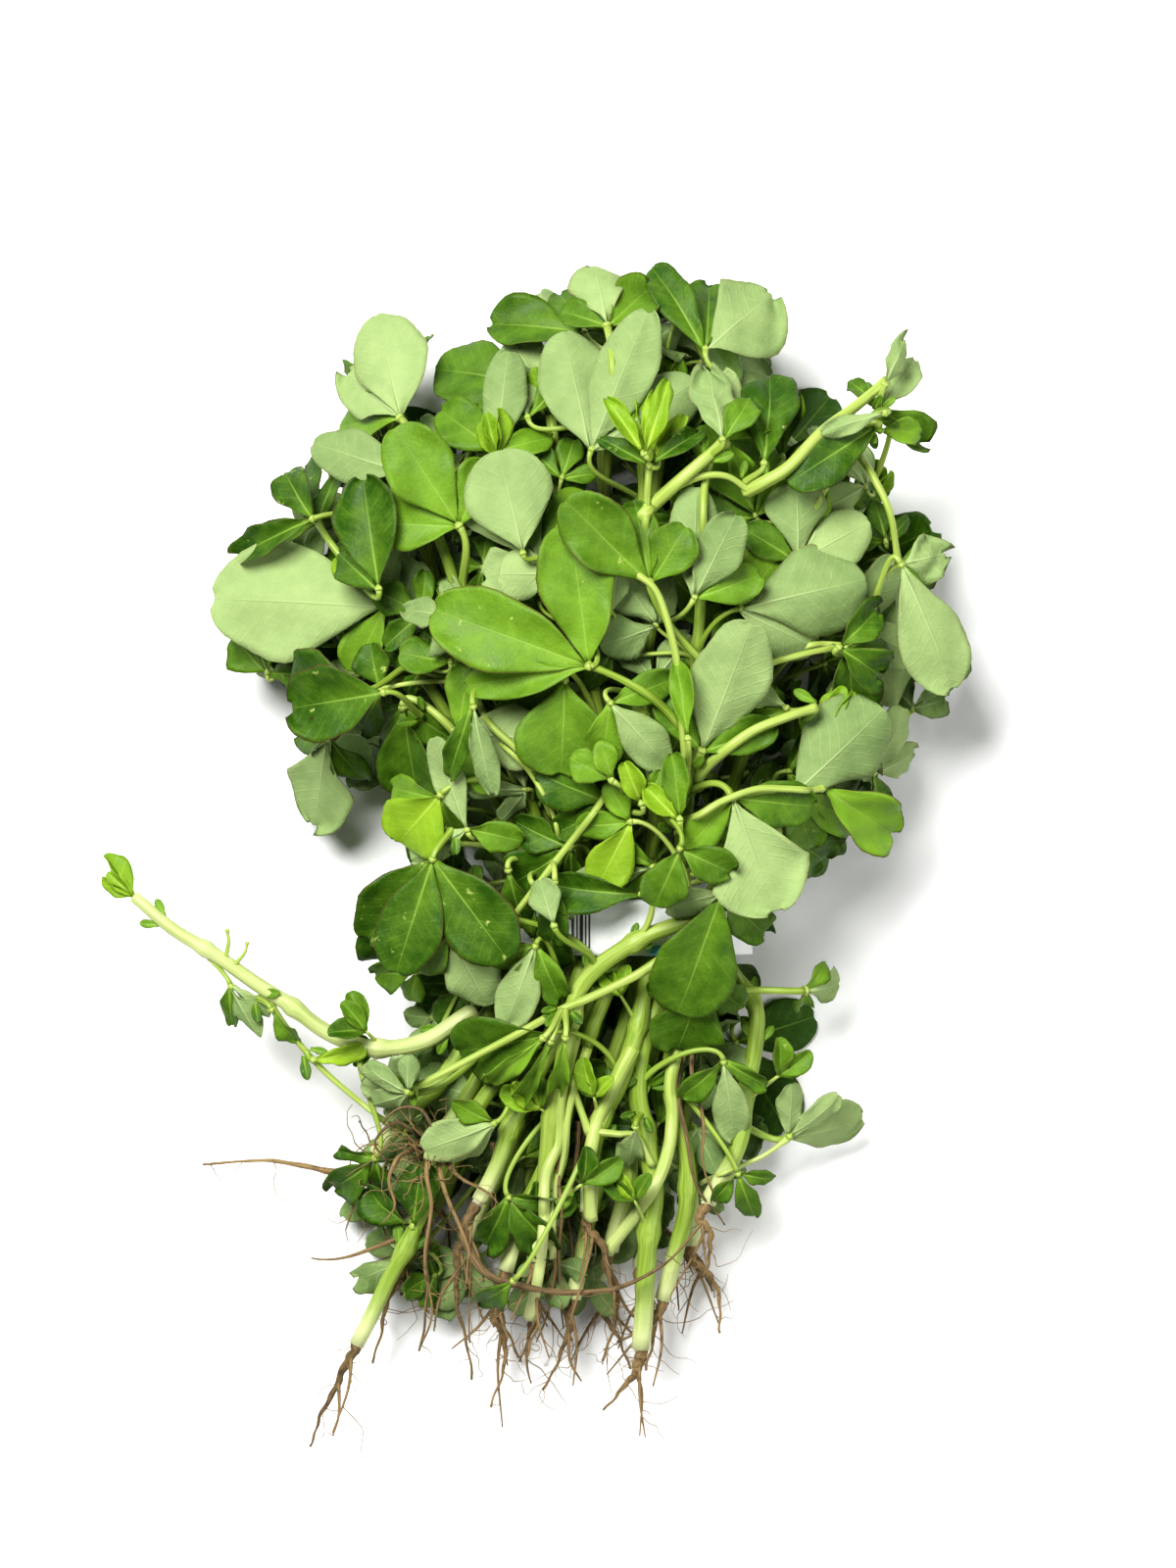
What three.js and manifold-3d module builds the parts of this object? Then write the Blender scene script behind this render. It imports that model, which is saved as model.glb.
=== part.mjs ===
// A tied bunch of fenugreek greens, lying on a flat surface: leafy stems with three-part leaves,
// their taproots, and one plain paper band round the stems.
// Millimetres, +Z up. +X runs across the bunch and +Y from the roots to the leaf tips.
import * as THREE from "three";
import { mergeVertices } from "three/addons/utils/BufferGeometryUtils.js";
import Module from "manifold-3d";

const wasm = await Module();
wasm.setup();

// Driving dimensions
const BLADE_THICKNESS = 0.8;
const STALK_RADIUS = 0.8;
const STALK_FOOT = 0.6; // a stalk's share of its radius where it starts, inside the stem
const STALK_STEPS = 3;
const HUB_HALF = 0.7; // half the width of the small joint between a leaf's stalk and its leaflets
const WIDEST_ROOM = 62; // degrees that a leaflet may spread to a side where it has no neighbour
const CLEARANCE = 0.35; // left between one plant and the next
const FLOOR = 0;
const STEM_TIP_RADIUS = 1.2;
const STEM_SIDES = 5;
const STEM_STEPS = 10;
const ROOT_SIDES = 5;
const ROOTLETS = 2; // side roots on each taproot
const ROOT_GAP = 0.35; // between a stem's foot and its taproot
const NECK_HALF = 9; // the stems run side by side this far either way from the middle of the band

// The band is a flattened ring that the stems pass through.
const BAND = { x: 12, y: -38, z: 21, halfWidth: 31.5, halfHeight: 21.5, tall: 15, thick: 0.8, sides: 32 };

// The leafy head is a dome; blades lie roughly along it, and turn over below its underside level.
const HEAD = { x: 4, y: 42, z: 30, a: 92, b: 90, c: 48, underside: 22 };

// Each plant: name, [x, z] in the band, leafy tip, root crown, radius at the crown, then its root's points
// and, for stems that bend on the way down, the points that they pass.
const PLANTS = [
  ["a1", [-9, 32.5], [-42, 72, 50], [-62, -150, 24], 1.8, [[-70, -166, 20], [-75, -178, 15]]],
  ["a2", [0, 35], [-24, 86, 54], [-29, -111, 32], 1.9,
    [[-33, -119, 33], [-27, -130, 34], [-11, -135, 34], [8, -134, 34], [21, -127, 35], [30, -117, 33]],
    [[-14, -77, 34.5], [-22, -98, 33.5]]],
  ["a3", [8.5, 36], [-4, 60, 62], [-22, -130, 25], 1.8, [[-23, -142, 22], [-19, -154, 18]]],
  ["a4", [17, 36], [14, 92, 58], [0, -114, 30], 2.0, [[3, -122, 28.5], [6, -132, 24], [7, -141, 22]],
    [[9, -76, 35], [2, -98, 34]]],
  ["a5", [25.5, 34.5], [30, 58, 60], [14, -151, 24], 2.2, [[11, -160, 21], [4, -168, 17]],
    [[13, -78, 31.5], [17.5, -112, 29]]],
  ["a6", [33, 30.5], [58, 68, 52], [20, -138, 21], 1.9, [[15, -146, 17], [8, -150, 13]],
    [[21, -76, 29], [27.5, -108, 26.5]]],
  ["a7", [37.5, 23.5], [70, 32, 44], [32, -112, 25], 1.9, [[33, -122, 24], [31, -132, 21]],
    [[45, -64, 26], [42, -90, 26]]],
  ["b1", [-13, 24], [-58, 50, 39], [-57, -99, 20], 1.8, [[-68, -104, 20], [-84, -101, 19], [-103, -102, 18]]],
  ["b2", [-4.5, 26], [-34, 42, 42], [-43, -98, 22], 1.9, [[-44, -114, 24], [-43, -132, 22], [-45, -152, 17]]],
  ["b3", [4.5, 27], [-10, 98, 44], [-33, -122, 20], 1.8, [[-35, -138, 19], [-31, -160, 14]]],
  ["b4", [13.5, 27.5], [20, 102, 42], [-4, -138, 18], 1.8, [[-6, -150, 15], [-12, -163, 11]]],
  ["b5", [22.5, 26], [50, 92, 40], [6, -125, 21], 1.9, [[8, -139, 18], [4, -155, 14]]],
  ["c1", [-11, 14.5], [-52, 84, 26], [-48, -126, 12], 1.9, [[-54, -140, 10], [-58, -156, 8]]],
  ["c2", [-2.5, 17.5], [-22, 60, 27], [-24, -140, 12], 1.8, [[-22, -152, 10], [-26, -168, 8]]],
  ["c3", [6.5, 18.5], [4, 104, 28], [-9, -119, 12.5], 1.9, [[-10, -134, 9.5], [-4, -150, 8]]],
  ["c4", [15.5, 19], [38, 78, 27], [14, -130, 13], 1.8, [[18, -142, 10], [16, -158, 8]]],
  ["c5", [24.5, 17.5], [74, 76, 24], [28, -124, 12], 1.9, [[34, -134, 9], [36, -148, 7]]],
  ["d1", [-3, 8.5], [-46, 32, 12], [-40, -110, 4.6], 1.8, [[-46, -122, 3.6], [-50, -138, 3]]],
  ["d2", [6, 9], [-12, 82, 12], [-18, -128, 4.4], 1.8, [[-14, -141, 3.6], [-18, -156, 3]]],
  ["d3", [15, 9], [24, 68, 12], [3, -134, 4.4], 1.8, [[6, -146, 3.6], [12, -158, 3]]],
  ["d4", [24, 9.5], [60, 38, 12], [20, -116, 4.6], 1.8, [[28, -126, 3.6], [34, -137, 3]]],
];

// Two shoots that bend out of the fan: name, radius at the foot, the stem from the tip down, and the root.
const SHOOTS = [
  ["over_band", 1.6, [[62, 14, 52], [52, -10, 51], [40, -28, 49], [26, -36, 48], [12, -42, 47.5], [-1, -53, 44],
    [-7, -74, 39.5], [-11, -102, 34], [-14, -127, 28]], [[-13, -140, 25], [-16, -153, 22]]],
  ["side_sprig", 1.7, [[-121, -30, 31], [-110, -39, 33], [-98, -46, 33], [-86, -55, 32], [-70, -66, 31],
    [-56, -70.5, 30], [-42, -68, 28.5], [-30, -60, 27.5]], null],
];

// The leaves that show from above. A row: junction, where its stalk leaves a stem (or null),
// then leaflets as [azimuth, length, width share, pitch, 1 for upper face seen or -1 for underside].
const LEAVES = [
  [[0, 31, 71], [23, 3], [98, 37, 0.56, 8, 1], [160, 43, 0.5, 3, 1], [178, 32, 0.36, -16, -1]],
  [[16, 53, 72], [28, 0], [136, 31, 0.56, 4, 1], [58, 17, 0.8, 4, 1], [100, 20, 0.5, -12, 1]],
  [[-12, 58, 62], null, [123, 32, 0.76, 2, -1], [192, 16, 0.95, -6, -1], [60, 24, 0.6, -16, 1]],
  [[40, 46, 64], null, [13, 35, 0.68, 2, -1], [50, 24, 0.7, -14, 1], [-24, 26, 0.55, -14, -1]],
  [[30, 9, 62], [28, -5], [71, 37, 0.55, 5, -1], [20, 20, 0.5, -10, 1], [128, 18, 0.5, -14, 1]],
  [[54, -3, 57], [26, -16], [42, 33, 0.72, 3, -1], [-25, 28, 0.4, -22, 1], [-62, 20, 0.6, -26, 1]],
  [[38, -4, 52], [26, -16], [-69, 31, 0.88, -8, -1], [-8, 22, 0.6, -22, 1], [-130, 18, 0.6, -24, 1]],
  [[35, -29, 57], null, [254, 36, 0.66, -9, 1], [312, 20, 0.6, -28, 1], [200, 15, 0.6, -18, -1]],
  [[-54, 47, 42], null, [177, 46, 0.68, 4, -1], [236, 20, 0.6, -22, 1], [92, 18, 0.5, -18, -1]],
  [[-50, 97, 45], [-34, 80], [107, 31, 0.7, 5, -1], [137, 26, 0.6, -14, -1], [166, 27, 0.6, -30, 1]],
  [[-50, 81, 39], null, [154, 29, 0.5, 0, -1], [196, 20, 0.6, -20, 1], [100, 15, 0.6, -20, 1]],
  [[-72, 70, 34], [-62, 72], [190, 22, 0.42, 0, 1], [126, 21, 0.6, -4, 1], [76, 16, 0.5, 6, 1]],
  [[-49, 53, 37], null, [115, 31, 0.6, 0, 1], [150, 22, 0.5, -24, 1], [60, 26, 0.6, -10, 1]],
  [[-34, 68, 53], [-27, 50], [123, 30, 0.6, 2, 1], [66, 18, 0.7, -8, 1], [176, 24, 0.6, -18, 1]],
  [[-24, 88, 58], null, [85, 27, 0.46, 8, -1], [140, 22, 0.6, -16, 1], [20, 16, 0.5, -14, 1]],
  [[-16, 97, 52], null, [50, 27, 0.42, 5, 1], [104, 18, 0.6, -8, -1], [160, 15, 0.7, -10, 1]],
  [[1, 88, 62], null, [68, 39, 0.42, 5, -1], [36, 34, 0.5, -9, -1], [102, 34, 0.55, -9, -1]],
  [[-13, 105, 50], null, [160, 30, 0.7, 0, 1], [118, 17, 0.8, 8, -1], [212, 16, 0.6, -14, 1]],
  [[-1, 120, 40], null, [165, 26, 0.6, 0, 1], [112, 18, 0.6, -12, 1], [60, 16, 0.6, -18, 1]],
  [[5, 121, 54], [14, 84], [100, 18, 0.95, 0, -1], [52, 18, 0.8, -14, 1], [150, 14, 0.6, -18, 1]],
  [[31, 115, 50], null, [45, 26, 0.9, 4, -1], [116, 28, 0.38, 8, 1], [82, 24, 0.6, -12, 1]],
  [[16, 84, 71], [14, 72], [116, 22, 0.32, 26, 2], [86, 25, 0.36, 34, 2], [56, 21, 0.34, 26, 2]],
  [[36, 90, 66], [14, 72], [92, 18, 0.66, 20, -1], [42, 16, 0.75, -4, 1], [-60, 13, 0.5, -20, 1]],
  [[77, 99, 54], [41, 77], [52, 18, 0.45, 12, -1], [-28, 16, 0.6, -10, 1], [128, 12, 0.5, -10, 1]],
  [[76, 96, 48], null, [214, 30, 0.5, -8, 1]],
  [[55, 59, 57], null, [92, 20, 0.85, 4, -1], [28, 22, 0.7, -12, -1], [150, 16, 0.6, -14, 1]],
  [[28, 49, 63], null, [64, 24, 0.55, 8, -1], [88, 29, 0.46, -10, -1], [20, 18, 0.6, -16, 1]],
  [[81, 56, 45], [70, 82], [-75, 38, 0.48, -6, -1], [-50, 32, 0.5, -22, -1], [12, 14, 0.8, 8, 1]],
  [[68, 36, 52], [45, 30], [-72, 18, 0.8, -8, 1], [-12, 15, 0.6, 4, 1], [46, 16, 0.6, -10, -1]],
  [[76, 3, 35], null, [62, 19, 0.6, 8, -1], [6, 18, 0.5, -14, -1], [-60, 16, 0.5, -20, 1]],
  [[52, -18, 31], null, [30, 18, 0.8, 0, 1], [-22, 19, 0.72, -4, 1], [-80, 15, 0.6, -8, 1]],
  [[-6, 27, 60], null, [-95, 26, 0.92, -7, 1], [-150, 20, 0.7, -14, 1], [-50, 18, 0.6, -16, -1]],
  [[6, 21, 59], null, [-48, 23, 0.5, -4, -1], [-96, 18, 0.6, -22, 1], [20, 18, 0.5, -14, 1]],
  [[-34, 14, 51], null, [-4, 26, 0.66, 0, -1], [-60, 17, 0.6, -18, 1], [80, 18, 0.6, -10, 1]],
  [[6, -5, 48], null, [156, 21, 0.66, 0, 1], [210, 17, 0.6, -16, 1], [100, 18, 0.6, -14, 1]],
  [[-32, -12, 50], null, [106, 26, 0.34, 8, -1], [213, 19, 0.5, -4, -1], [-16, 15, 0.6, -12, 1]],
  [[-49, 20, 43], [-34, 16], [-92, 25, 0.75, -16, 1], [-140, 18, 0.6, -24, 1], [-40, 17, 0.6, -20, 1]],
  [[-55, 25, 42], null, [195, 25, 0.75, -8, 1], [100, 12, 0.8, 8, 1], [230, 15, 0.75, -22, 1]],
  [[-69, 12, 31], null, [240, 29, 0.74, -10, -1], [190, 18, 0.6, -16, 1], [290, 16, 0.6, -18, 1]],
  [[-40, -4, 45], null, [232, 18, 0.85, -14, 2], [180, 16, 0.6, -22, 1], [285, 16, 0.6, -18, 1]],
  [[-41, -21, 43], null, [258, 31, 0.58, -12, 1], [300, 31, 0.62, -5, 1], [236, 30, 0.5, -26, 1]],
  [[11, -10, 57], null, [244, 19, 0.68, -8, 2], [186, 14, 0.6, -10, 1], [120, 12, 0.6, 8, 1]],
  [[24, -17, 56], null, [249, 17, 0.7, -5, 1], [333, 15, 0.72, 0, 1]],
  [[20, -7, 59], null, [100, 17, 0.42, 24, -1], [138, 18, 0.5, 14, 2], [60, 14, 0.5, 24, 2]],
  [[31, -51, 44], null, [257, 24, 0.85, -12, 1], [205, 16, 0.6, -12, 1], [310, 16, 0.6, -12, 1]],
  [[-36, -40, 38], null, [-72, 24, 0.62, -8, -1], [-20, 15, 0.5, -16, 1], [-130, 18, 0.6, -18, 1]],
  [[-14, -43, 49], null, [251, 23, 0.5, -8, -1], [288, 17, 0.5, -12, 1], [206, 14, 0.6, -16, 1]],
  [[-5, -17, 40], null, [218, 19, 0.9, -5, 1], [270, 16, 0.5, -10, 1], [160, 16, 0.6, -8, 1]],
  [[-13, -23, 44], null, [262, 21, 0.62, -6, 1], [212, 15, 0.5, -10, 1]],
  [[17, -22, 51], null, [196, 24, 0.34, 0, -1], [150, 14, 0.5, -4, 1], [240, 12, 0.5, -16, 1]],
  [[-25, -90, 40], null, [205, 20, 0.66, -4, -1], [228, 19, 0.42, -20, -1], [150, 12, 0.6, -10, 1]],
  [[-10, -66, 40], null, [203, 28, 0.74, -6, 1]],
  [[-46, -82, 41], [-3, -54], [100, 14, 0.6, 6, -1], [172, 14, 0.6, -6, -1], [236, 12, 0.6, -14, -1]],
  [[54, -94, 22], [34, -100], [95, 17, 0.46, 8, -1], [56, 18, 0.4, 18, -1], [-5, 22, 0.76, -4, -1]],
  [[58, -55, 31], [46, -62], [-18, 13, 0.85, 0, -1], [40, 9, 0.6, 6, 1], [-80, 9, 0.6, 0, 1]],
  [[40, -104, 19], null, [-72, 15, 0.46, -8, 1], [-20, 10, 0.5, -4, 1], [-120, 10, 0.5, -8, 1]],
  [[36, -74, 27], null, [-80, 24, 0.4, -6, -1], [-40, 14, 0.4, -14, 1], [-130, 15, 0.5, -12, 1]],
  [[12, -91, 27], null, [-85, 19, 0.5, 0, -1], [-40, 12, 0.5, -8, 1], [-130, 14, 0.5, -8, 1]],
  [[-21, -110, 24], null, [-58, 18, 0.7, 0, 1], [-110, 17, 0.6, -4, 1], [-10, 12, 0.6, -6, 1]],
  [[-46, -50, 31], null, [200, 12, 0.9, 0, 1], [140, 11, 0.8, 0, 1], [250, 12, 0.6, -8, 1]],
  [[-95, -54, 33], null, [-66, 15, 0.42, -8, -1], [-50, 13, 0.4, -22, -1], [-100, 12, 0.5, -14, 1]],
  [[-57, -100, 27], null, [228, 18, 0.5, -10, 1], [180, 10, 0.5, -8, 1], [270, 12, 0.5, -10, 1]],
  [[-42, -112, 25], null, [240, 17, 0.6, -5, 1], [190, 12, 0.6, -8, 1]],
  [[-50, -128, 18], null, [215, 15, 0.6, -5, 1], [265, 12, 0.6, -8, 1]],
  [[-20, -132, 27], null, [232, 16, 0.5, -4, 1], [285, 12, 0.5, -8, 1]],
  [[-4, -122, 24], null, [-60, 13, 0.6, -5, 1], [-115, 11, 0.5, -8, 1]],
  [[-13, -70, 43], null, [250, 18, 0.4, -10, 2], [222, 22, 0.36, -6, 2]],
];

// Leaves pressed flat under the bunch by its weight: junction x and y, azimuth of the middle leaflet.
const PRESSED = [
  [-58, 30, 170], [-36, 78, 125], [6, 96, 80], [48, 84, 50], [68, 34, 5], [10, 30, 250],
  [-34, -30, 200], [40, -70, -60], [-30, -96, 215],
];

// Leaves that fill the sides and the back of the head, spread evenly by the golden angle.
const FILLERS = { count: 16, tries: 160, seed: 7, outermost: 0.95, innermost: 0.55, length: 21, lowest: 7 };

const rad = THREE.MathUtils.degToRad;
const UP = new THREE.Vector3(0, 0, 1);
const vec = (p) => new THREE.Vector3(...p);

// A small seeded stream of numbers from 0 to 1.
function draws(seed) {
  let state = (seed * 2654435761) >>> 0;
  return () => {
    state = (Math.imul(state, 1664525) + 1013904223) >>> 0;
    return state / 4294967296;
  };
}

// A closed body from rings of points, each ring joined to the next, with flat ends.
function loft(rings) {
  const sides = rings[0].length;
  const points = rings.flat();
  const faces = [];
  for (let r = 0; r + 1 < rings.length; r++)
    for (let k = 0; k < sides; k++) {
      const a = r * sides + k;
      const b = r * sides + ((k + 1) % sides);
      faces.push([a, b, b + sides], [a, b + sides, a + sides]);
    }
  const last = (rings.length - 1) * sides;
  for (let k = 1; k + 1 < sides; k++) faces.push([0, k + 1, k], [last, last + k, last + k + 1]);
  return { points, faces };
}

// Rings round a path. The rings keep one sideways direction, so they never twist.
function tube(path, radii, sides, grow = 0) {
  const rings = path.map((p, i) => {
    const ahead = path[Math.min(i + 1, path.length - 1)];
    const behind = path[Math.max(i - 1, 0)];
    const along = ahead.clone().sub(behind).normalize();
    const reference = Math.abs(along.z) > 0.8 ? new THREE.Vector3(1, 0, 0) : UP;
    const across = along.clone().cross(reference).normalize();
    const upward = across.clone().cross(along);
    return Array.from({ length: sides }, (_, k) => {
      const turn = (2 * Math.PI * (k + 0.5)) / sides;
      return p
        .clone()
        .addScaledVector(across, Math.cos(turn) * (radii[i] + grow))
        .addScaledVector(upward, -Math.sin(turn) * (radii[i] + grow));
    });
  });
  return loft(rings);
}

// Points along a smooth curve through the given ones.
function smooth(points, steps) {
  const curve = new THREE.CatmullRomCurve3(points, false, "catmullrom", 0.5);
  return Array.from({ length: steps + 1 }, (_, i) => curve.getPoint(i / steps));
}

// Where along a leaflet its outline is cut, finer on longer ones
const stationsFor = (length) => (length > 24 ? [0.3, 0.62, 0.9] : length > 15 ? [0.42, 0.84] : [0.66]);

// Half the width of a leaflet at s along its midrib, as a share of its widest: wedge base, broad blunt tip.
const outline = (s) => Math.pow(Math.sin(Math.PI * Math.pow(Math.min(Math.max(s, 0), 1), 1.45)), 0.7);

// A point of a leaflet's middle surface, s from base to tip and t from -1 to 1 across, with the normal there
function leafletPoint(leaf, s, t, grow) {
  const bend = leaf.bend * s;
  const forward = (Math.sin(bend) / leaf.bend) * leaf.length + (s === 1 ? grow : 0);
  const down = ((1 - Math.cos(bend)) / leaf.bend) * leaf.length;
  const room = Math.tan(rad(t < 0 ? leaf.roomLeft : leaf.roomRight)) * s * leaf.length;
  const x = t * (Math.min(leaf.halfWidth * outline(s), room) + grow);
  const ripple = leaf.wave * t * t * Math.sin(Math.PI * (2.2 * s + leaf.phase) + 1.9 * t);
  const normal = leaf.along.clone().multiplyScalar(Math.sin(bend)).addScaledVector(leaf.normal, Math.cos(bend));
  const point = leaf.base.clone().addScaledVector(leaf.along, forward).addScaledVector(leaf.normal, -down);
  point.addScaledVector(leaf.across, x).addScaledVector(normal, leaf.fold * Math.abs(x) + ripple);
  return { point, normal };
}

// The outward direction of the head's dome at a place, mixed with straight up or straight down.
function domeNormal(p, share) {
  const { x, y, z, a, b, c } = HEAD;
  const outward = new THREE.Vector3((p.x - x) / a ** 2, (p.y - y) / b ** 2, (p.z - z) / c ** 2);
  const side = p.z < HEAD.underside ? -1 : 1;
  return outward.normalize().multiplyScalar(share).addScaledVector(UP, side * (1 - share)).normalize();
}

// The direction at an azimuth in the plane across a normal, pitched up from it
function direction(azimuth, normal, pitch) {
  const along = new THREE.Vector3(Math.cos(rad(azimuth)), Math.sin(rad(azimuth)), 0);
  along.addScaledVector(normal, -along.dot(normal)).normalize();
  return along.multiplyScalar(Math.cos(rad(pitch))).addScaledVector(normal, Math.sin(rad(pitch)));
}

// A leaf's hub, where its stalk ends, and its leaflets: the middle one in front, the others at its sides.
function leafOf(junction, normal, rows, tilt, random, relief) {
  const sorted = [...rows].sort((a, b) => b[0] - a[0]);
  const front = rows.length === 3 ? sorted[1] : rows[0];
  const along = direction(front[0], normal, tilt);
  const across = along.clone().cross(normal).normalize();
  const up = across.clone().cross(along).normalize();
  const sideOf = (row) => (row === front ? 0 : row[0] > front[0] ? -1 : 1);
  const gap = (row, side) => {
    const next = rows.find((other) => sideOf(other) === side && other !== row);
    return next ? Math.min(Math.abs(next[0] - row[0]) / 2 - 2, WIDEST_ROOM) : WIDEST_ROOM;
  };
  const leaflets = rows.map((row) => {
    const [azimuth, length, share, pitch, face] = row;
    const side = sideOf(row);
    const way = direction(azimuth, normal, pitch + tilt);
    const wide = way.clone().cross(normal).normalize();
    const cup = face === -1 ? -1 : 1;
    return {
      side,
      length,
      stations: stationsFor(length),
      base: junction.clone().addScaledVector(side ? across : along, (side || 1) * HUB_HALF),
      along: way,
      across: wide,
      normal: wide.clone().cross(way).normalize(),
      halfWidth: (length * share) / 2,
      roomLeft: side === 0 ? gap(row, -1) : side === 1 ? gap(row, 0) : WIDEST_ROOM,
      roomRight: side === 0 ? gap(row, 1) : side === -1 ? gap(row, 0) : WIDEST_ROOM,
      bend: 1e-4 + relief * rad(8 + 20 * random()),
      fold: relief * cup * (0.08 + 0.2 * random()) * (share < 0.5 ? 1.8 : 1),
      wave: relief * (0.5 + random()),
      phase: 2 * random(),
    };
  });
  return { junction, along, across, up, leaflets };
}

// The path of a leaf's stalk: it leaves forward along the stem and arrives along the middle leaflet.
function stalkPath(start, heading, leaf) {
  const end = leaf.junction.clone().addScaledVector(leaf.along, -HUB_HALF);
  const reach = start.distanceTo(end);
  const leaving = start.clone().addScaledVector(heading, 0.35 * reach);
  const arriving = end.clone().addScaledVector(leaf.along, -0.3 * reach);
  const curve = new THREE.CubicBezierCurve3(start, leaving, arriving, end);
  return Array.from({ length: STALK_STEPS + 1 }, (_, i) => curve.getPoint(i / STALK_STEPS));
}

// Four corners round a centre: left top, right top, right bottom, left bottom
const corners = (centre, across, up, half, thick) =>
  [[-1, 1], [1, 1], [1, -1], [-1, -1]].map(([x, z]) =>
    centre.clone().addScaledVector(across, x * half).addScaledVector(up, z * thick),
  );

// The quad of side k between two rings of four corners, as two triangles facing out
const quad = (a, b, k, last = (k + 1) % 4) => [[a + k, a + last, b + last], [a + k, b + last, b + k]];

// One leaflet's faces, from the hub edge that it grows on: upper and lower face split alike, and the rims.
function leafletFaces(points, leaf, edge, grow) {
  const half = BLADE_THICKNESS / 2 + grow;
  const rows = [edge];
  [...leaf.stations, 1].forEach((s) => {
    const across = s === 1 ? [0] : [-1, 0, 1];
    const upper = across.map((t) => leafletPoint(leaf, s, t, grow));
    const first = points.length;
    points.push(...upper.map(({ point, normal }) => point.clone().addScaledVector(normal, half)));
    points.push(...upper.map(({ point, normal }) => point.clone().addScaledVector(normal, -half)));
    rows.push({ top: upper.map((_, i) => first + i), low: upper.map((_, i) => first + upper.length + i) });
  });
  const faces = [];
  for (let r = 0; r + 1 < rows.length; r++) {
    const [a, b] = [rows[r], rows[r + 1]];
    const split = (p, q) => {
      if (p.length === 2) return [[p[0], p[1], q[1]], [p[0], q[1], q[0]], [p[1], q[2], q[1]]];
      if (q.length === 1) return [[p[0], p[1], q[0]], [p[1], p[2], q[0]]];
      return [[p[0], p[1], q[1]], [p[0], q[1], q[0]], [p[1], p[2], q[2]], [p[1], q[2], q[1]]];
    };
    faces.push(...split(a.top, b.top), ...split(a.low, b.low).map(([x, y, z]) => [x, z, y]));
    faces.push([a.low[0], a.top[0], b.top[0]], [a.low[0], b.top[0], b.low[0]]);
    faces.push([a.top.at(-1), a.low.at(-1), b.low.at(-1)], [a.top.at(-1), b.low.at(-1), b.top.at(-1)]);
  }
  return faces;
}

// A whole leaf as one closed mesh: stalk, hub and leaflets. The stalk's faces come first.
function leafMesh(path, leaf, grow = 0) {
  const points = [];
  path.forEach((p, i) => {
    const last = i === path.length - 1;
    const along = path[Math.min(i + 1, path.length - 1)].clone().sub(path[Math.max(i - 1, 0)]).normalize();
    const across = leaf.across.clone().addScaledVector(along, -leaf.across.dot(along)).normalize();
    const upward = across.clone().cross(along);
    const radius = STALK_RADIUS * (i === 0 ? STALK_FOOT : 1) + grow;
    if (last) points.push(...corners(p, leaf.across, leaf.up, HUB_HALF + grow, BLADE_THICKNESS / 2 + grow));
    else points.push(...corners(p, across, upward, radius, radius));
  });
  const back = 4 * (path.length - 1);
  const front = points.length;
  const nose = leaf.junction.clone().addScaledVector(leaf.along, HUB_HALF);
  points.push(...corners(nose, leaf.across, leaf.up, HUB_HALF + grow, BLADE_THICKNESS / 2 + grow));
  const faces = [[0, 3, 2], [0, 2, 1]];
  for (let a = 0; a < back; a += 4) for (let k = 0; k < 4; k++) faces.push(...quad(a, a + 4, k));
  const stalkFaces = faces.length;
  faces.push(...quad(back, front, 0), ...quad(back, front, 2));
  const edges = new Map([
    [-1, { top: [back, front], low: [back + 3, front + 3] }],
    [0, { top: [front, front + 1], low: [front + 3, front + 2] }],
    [1, { top: [front + 1, back + 1], low: [front + 2, back + 2] }],
  ]);
  leaf.leaflets.forEach((leaflet) => faces.push(...leafletFaces(points, leaflet, edges.get(leaflet.side), grow)));
  const sides = leaf.leaflets.map(({ side }) => side);
  if (!sides.includes(-1)) faces.push(...quad(back, front, 3));
  if (!sides.includes(1)) faces.push(...quad(back, front, 1));
  return { points, faces, stalkFaces };
}

// A mesh's triangles with their boxes, for finding where it meets another
function shapeOf({ points, faces }) {
  const tris = faces.map((face) => face.map((i) => points[i]));
  const boxes = tris.map((tri) => new THREE.Box3().setFromPoints(tri));
  return { tris, boxes, box: new THREE.Box3().setFromPoints(tris.flat()) };
}

const edgeA = new THREE.Vector3();
const edgeB = new THREE.Vector3();
const ray = new THREE.Vector3();
const cross = new THREE.Vector3();
const offset = new THREE.Vector3();
const second = new THREE.Vector3();

// Whether the segment from p to q passes through a triangle
function segmentMeets(p, q, [a, b, c]) {
  ray.subVectors(q, p);
  edgeA.subVectors(b, a);
  edgeB.subVectors(c, a);
  cross.crossVectors(ray, edgeB);
  const det = edgeA.dot(cross);
  if (Math.abs(det) < 1e-12) return false;
  offset.subVectors(p, a);
  const u = offset.dot(cross) / det;
  if (u < 0 || u > 1) return false;
  second.crossVectors(offset, edgeA);
  const v = ray.dot(second) / det;
  if (v < 0 || u + v > 1) return false;
  const w = edgeB.dot(second) / det;
  return w >= 0 && w <= 1;
}

const cornersOfThree = [0, 1, 2];
const trianglesMeet = (s, t) =>
  cornersOfThree.some((k) => segmentMeets(s[k], s[(k + 1) % 3], t) || segmentMeets(t[k], t[(k + 1) % 3], s));

function meets(one, other) {
  if (!one.box.intersectsBox(other.box)) return false;
  return one.tris.some((s, i) => {
    if (!one.boxes[i].intersectsBox(other.box)) return false;
    return other.tris.some((t, j) => one.boxes[i].intersectsBox(other.boxes[j]) && trianglesMeet(s, t));
  });
}

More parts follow.
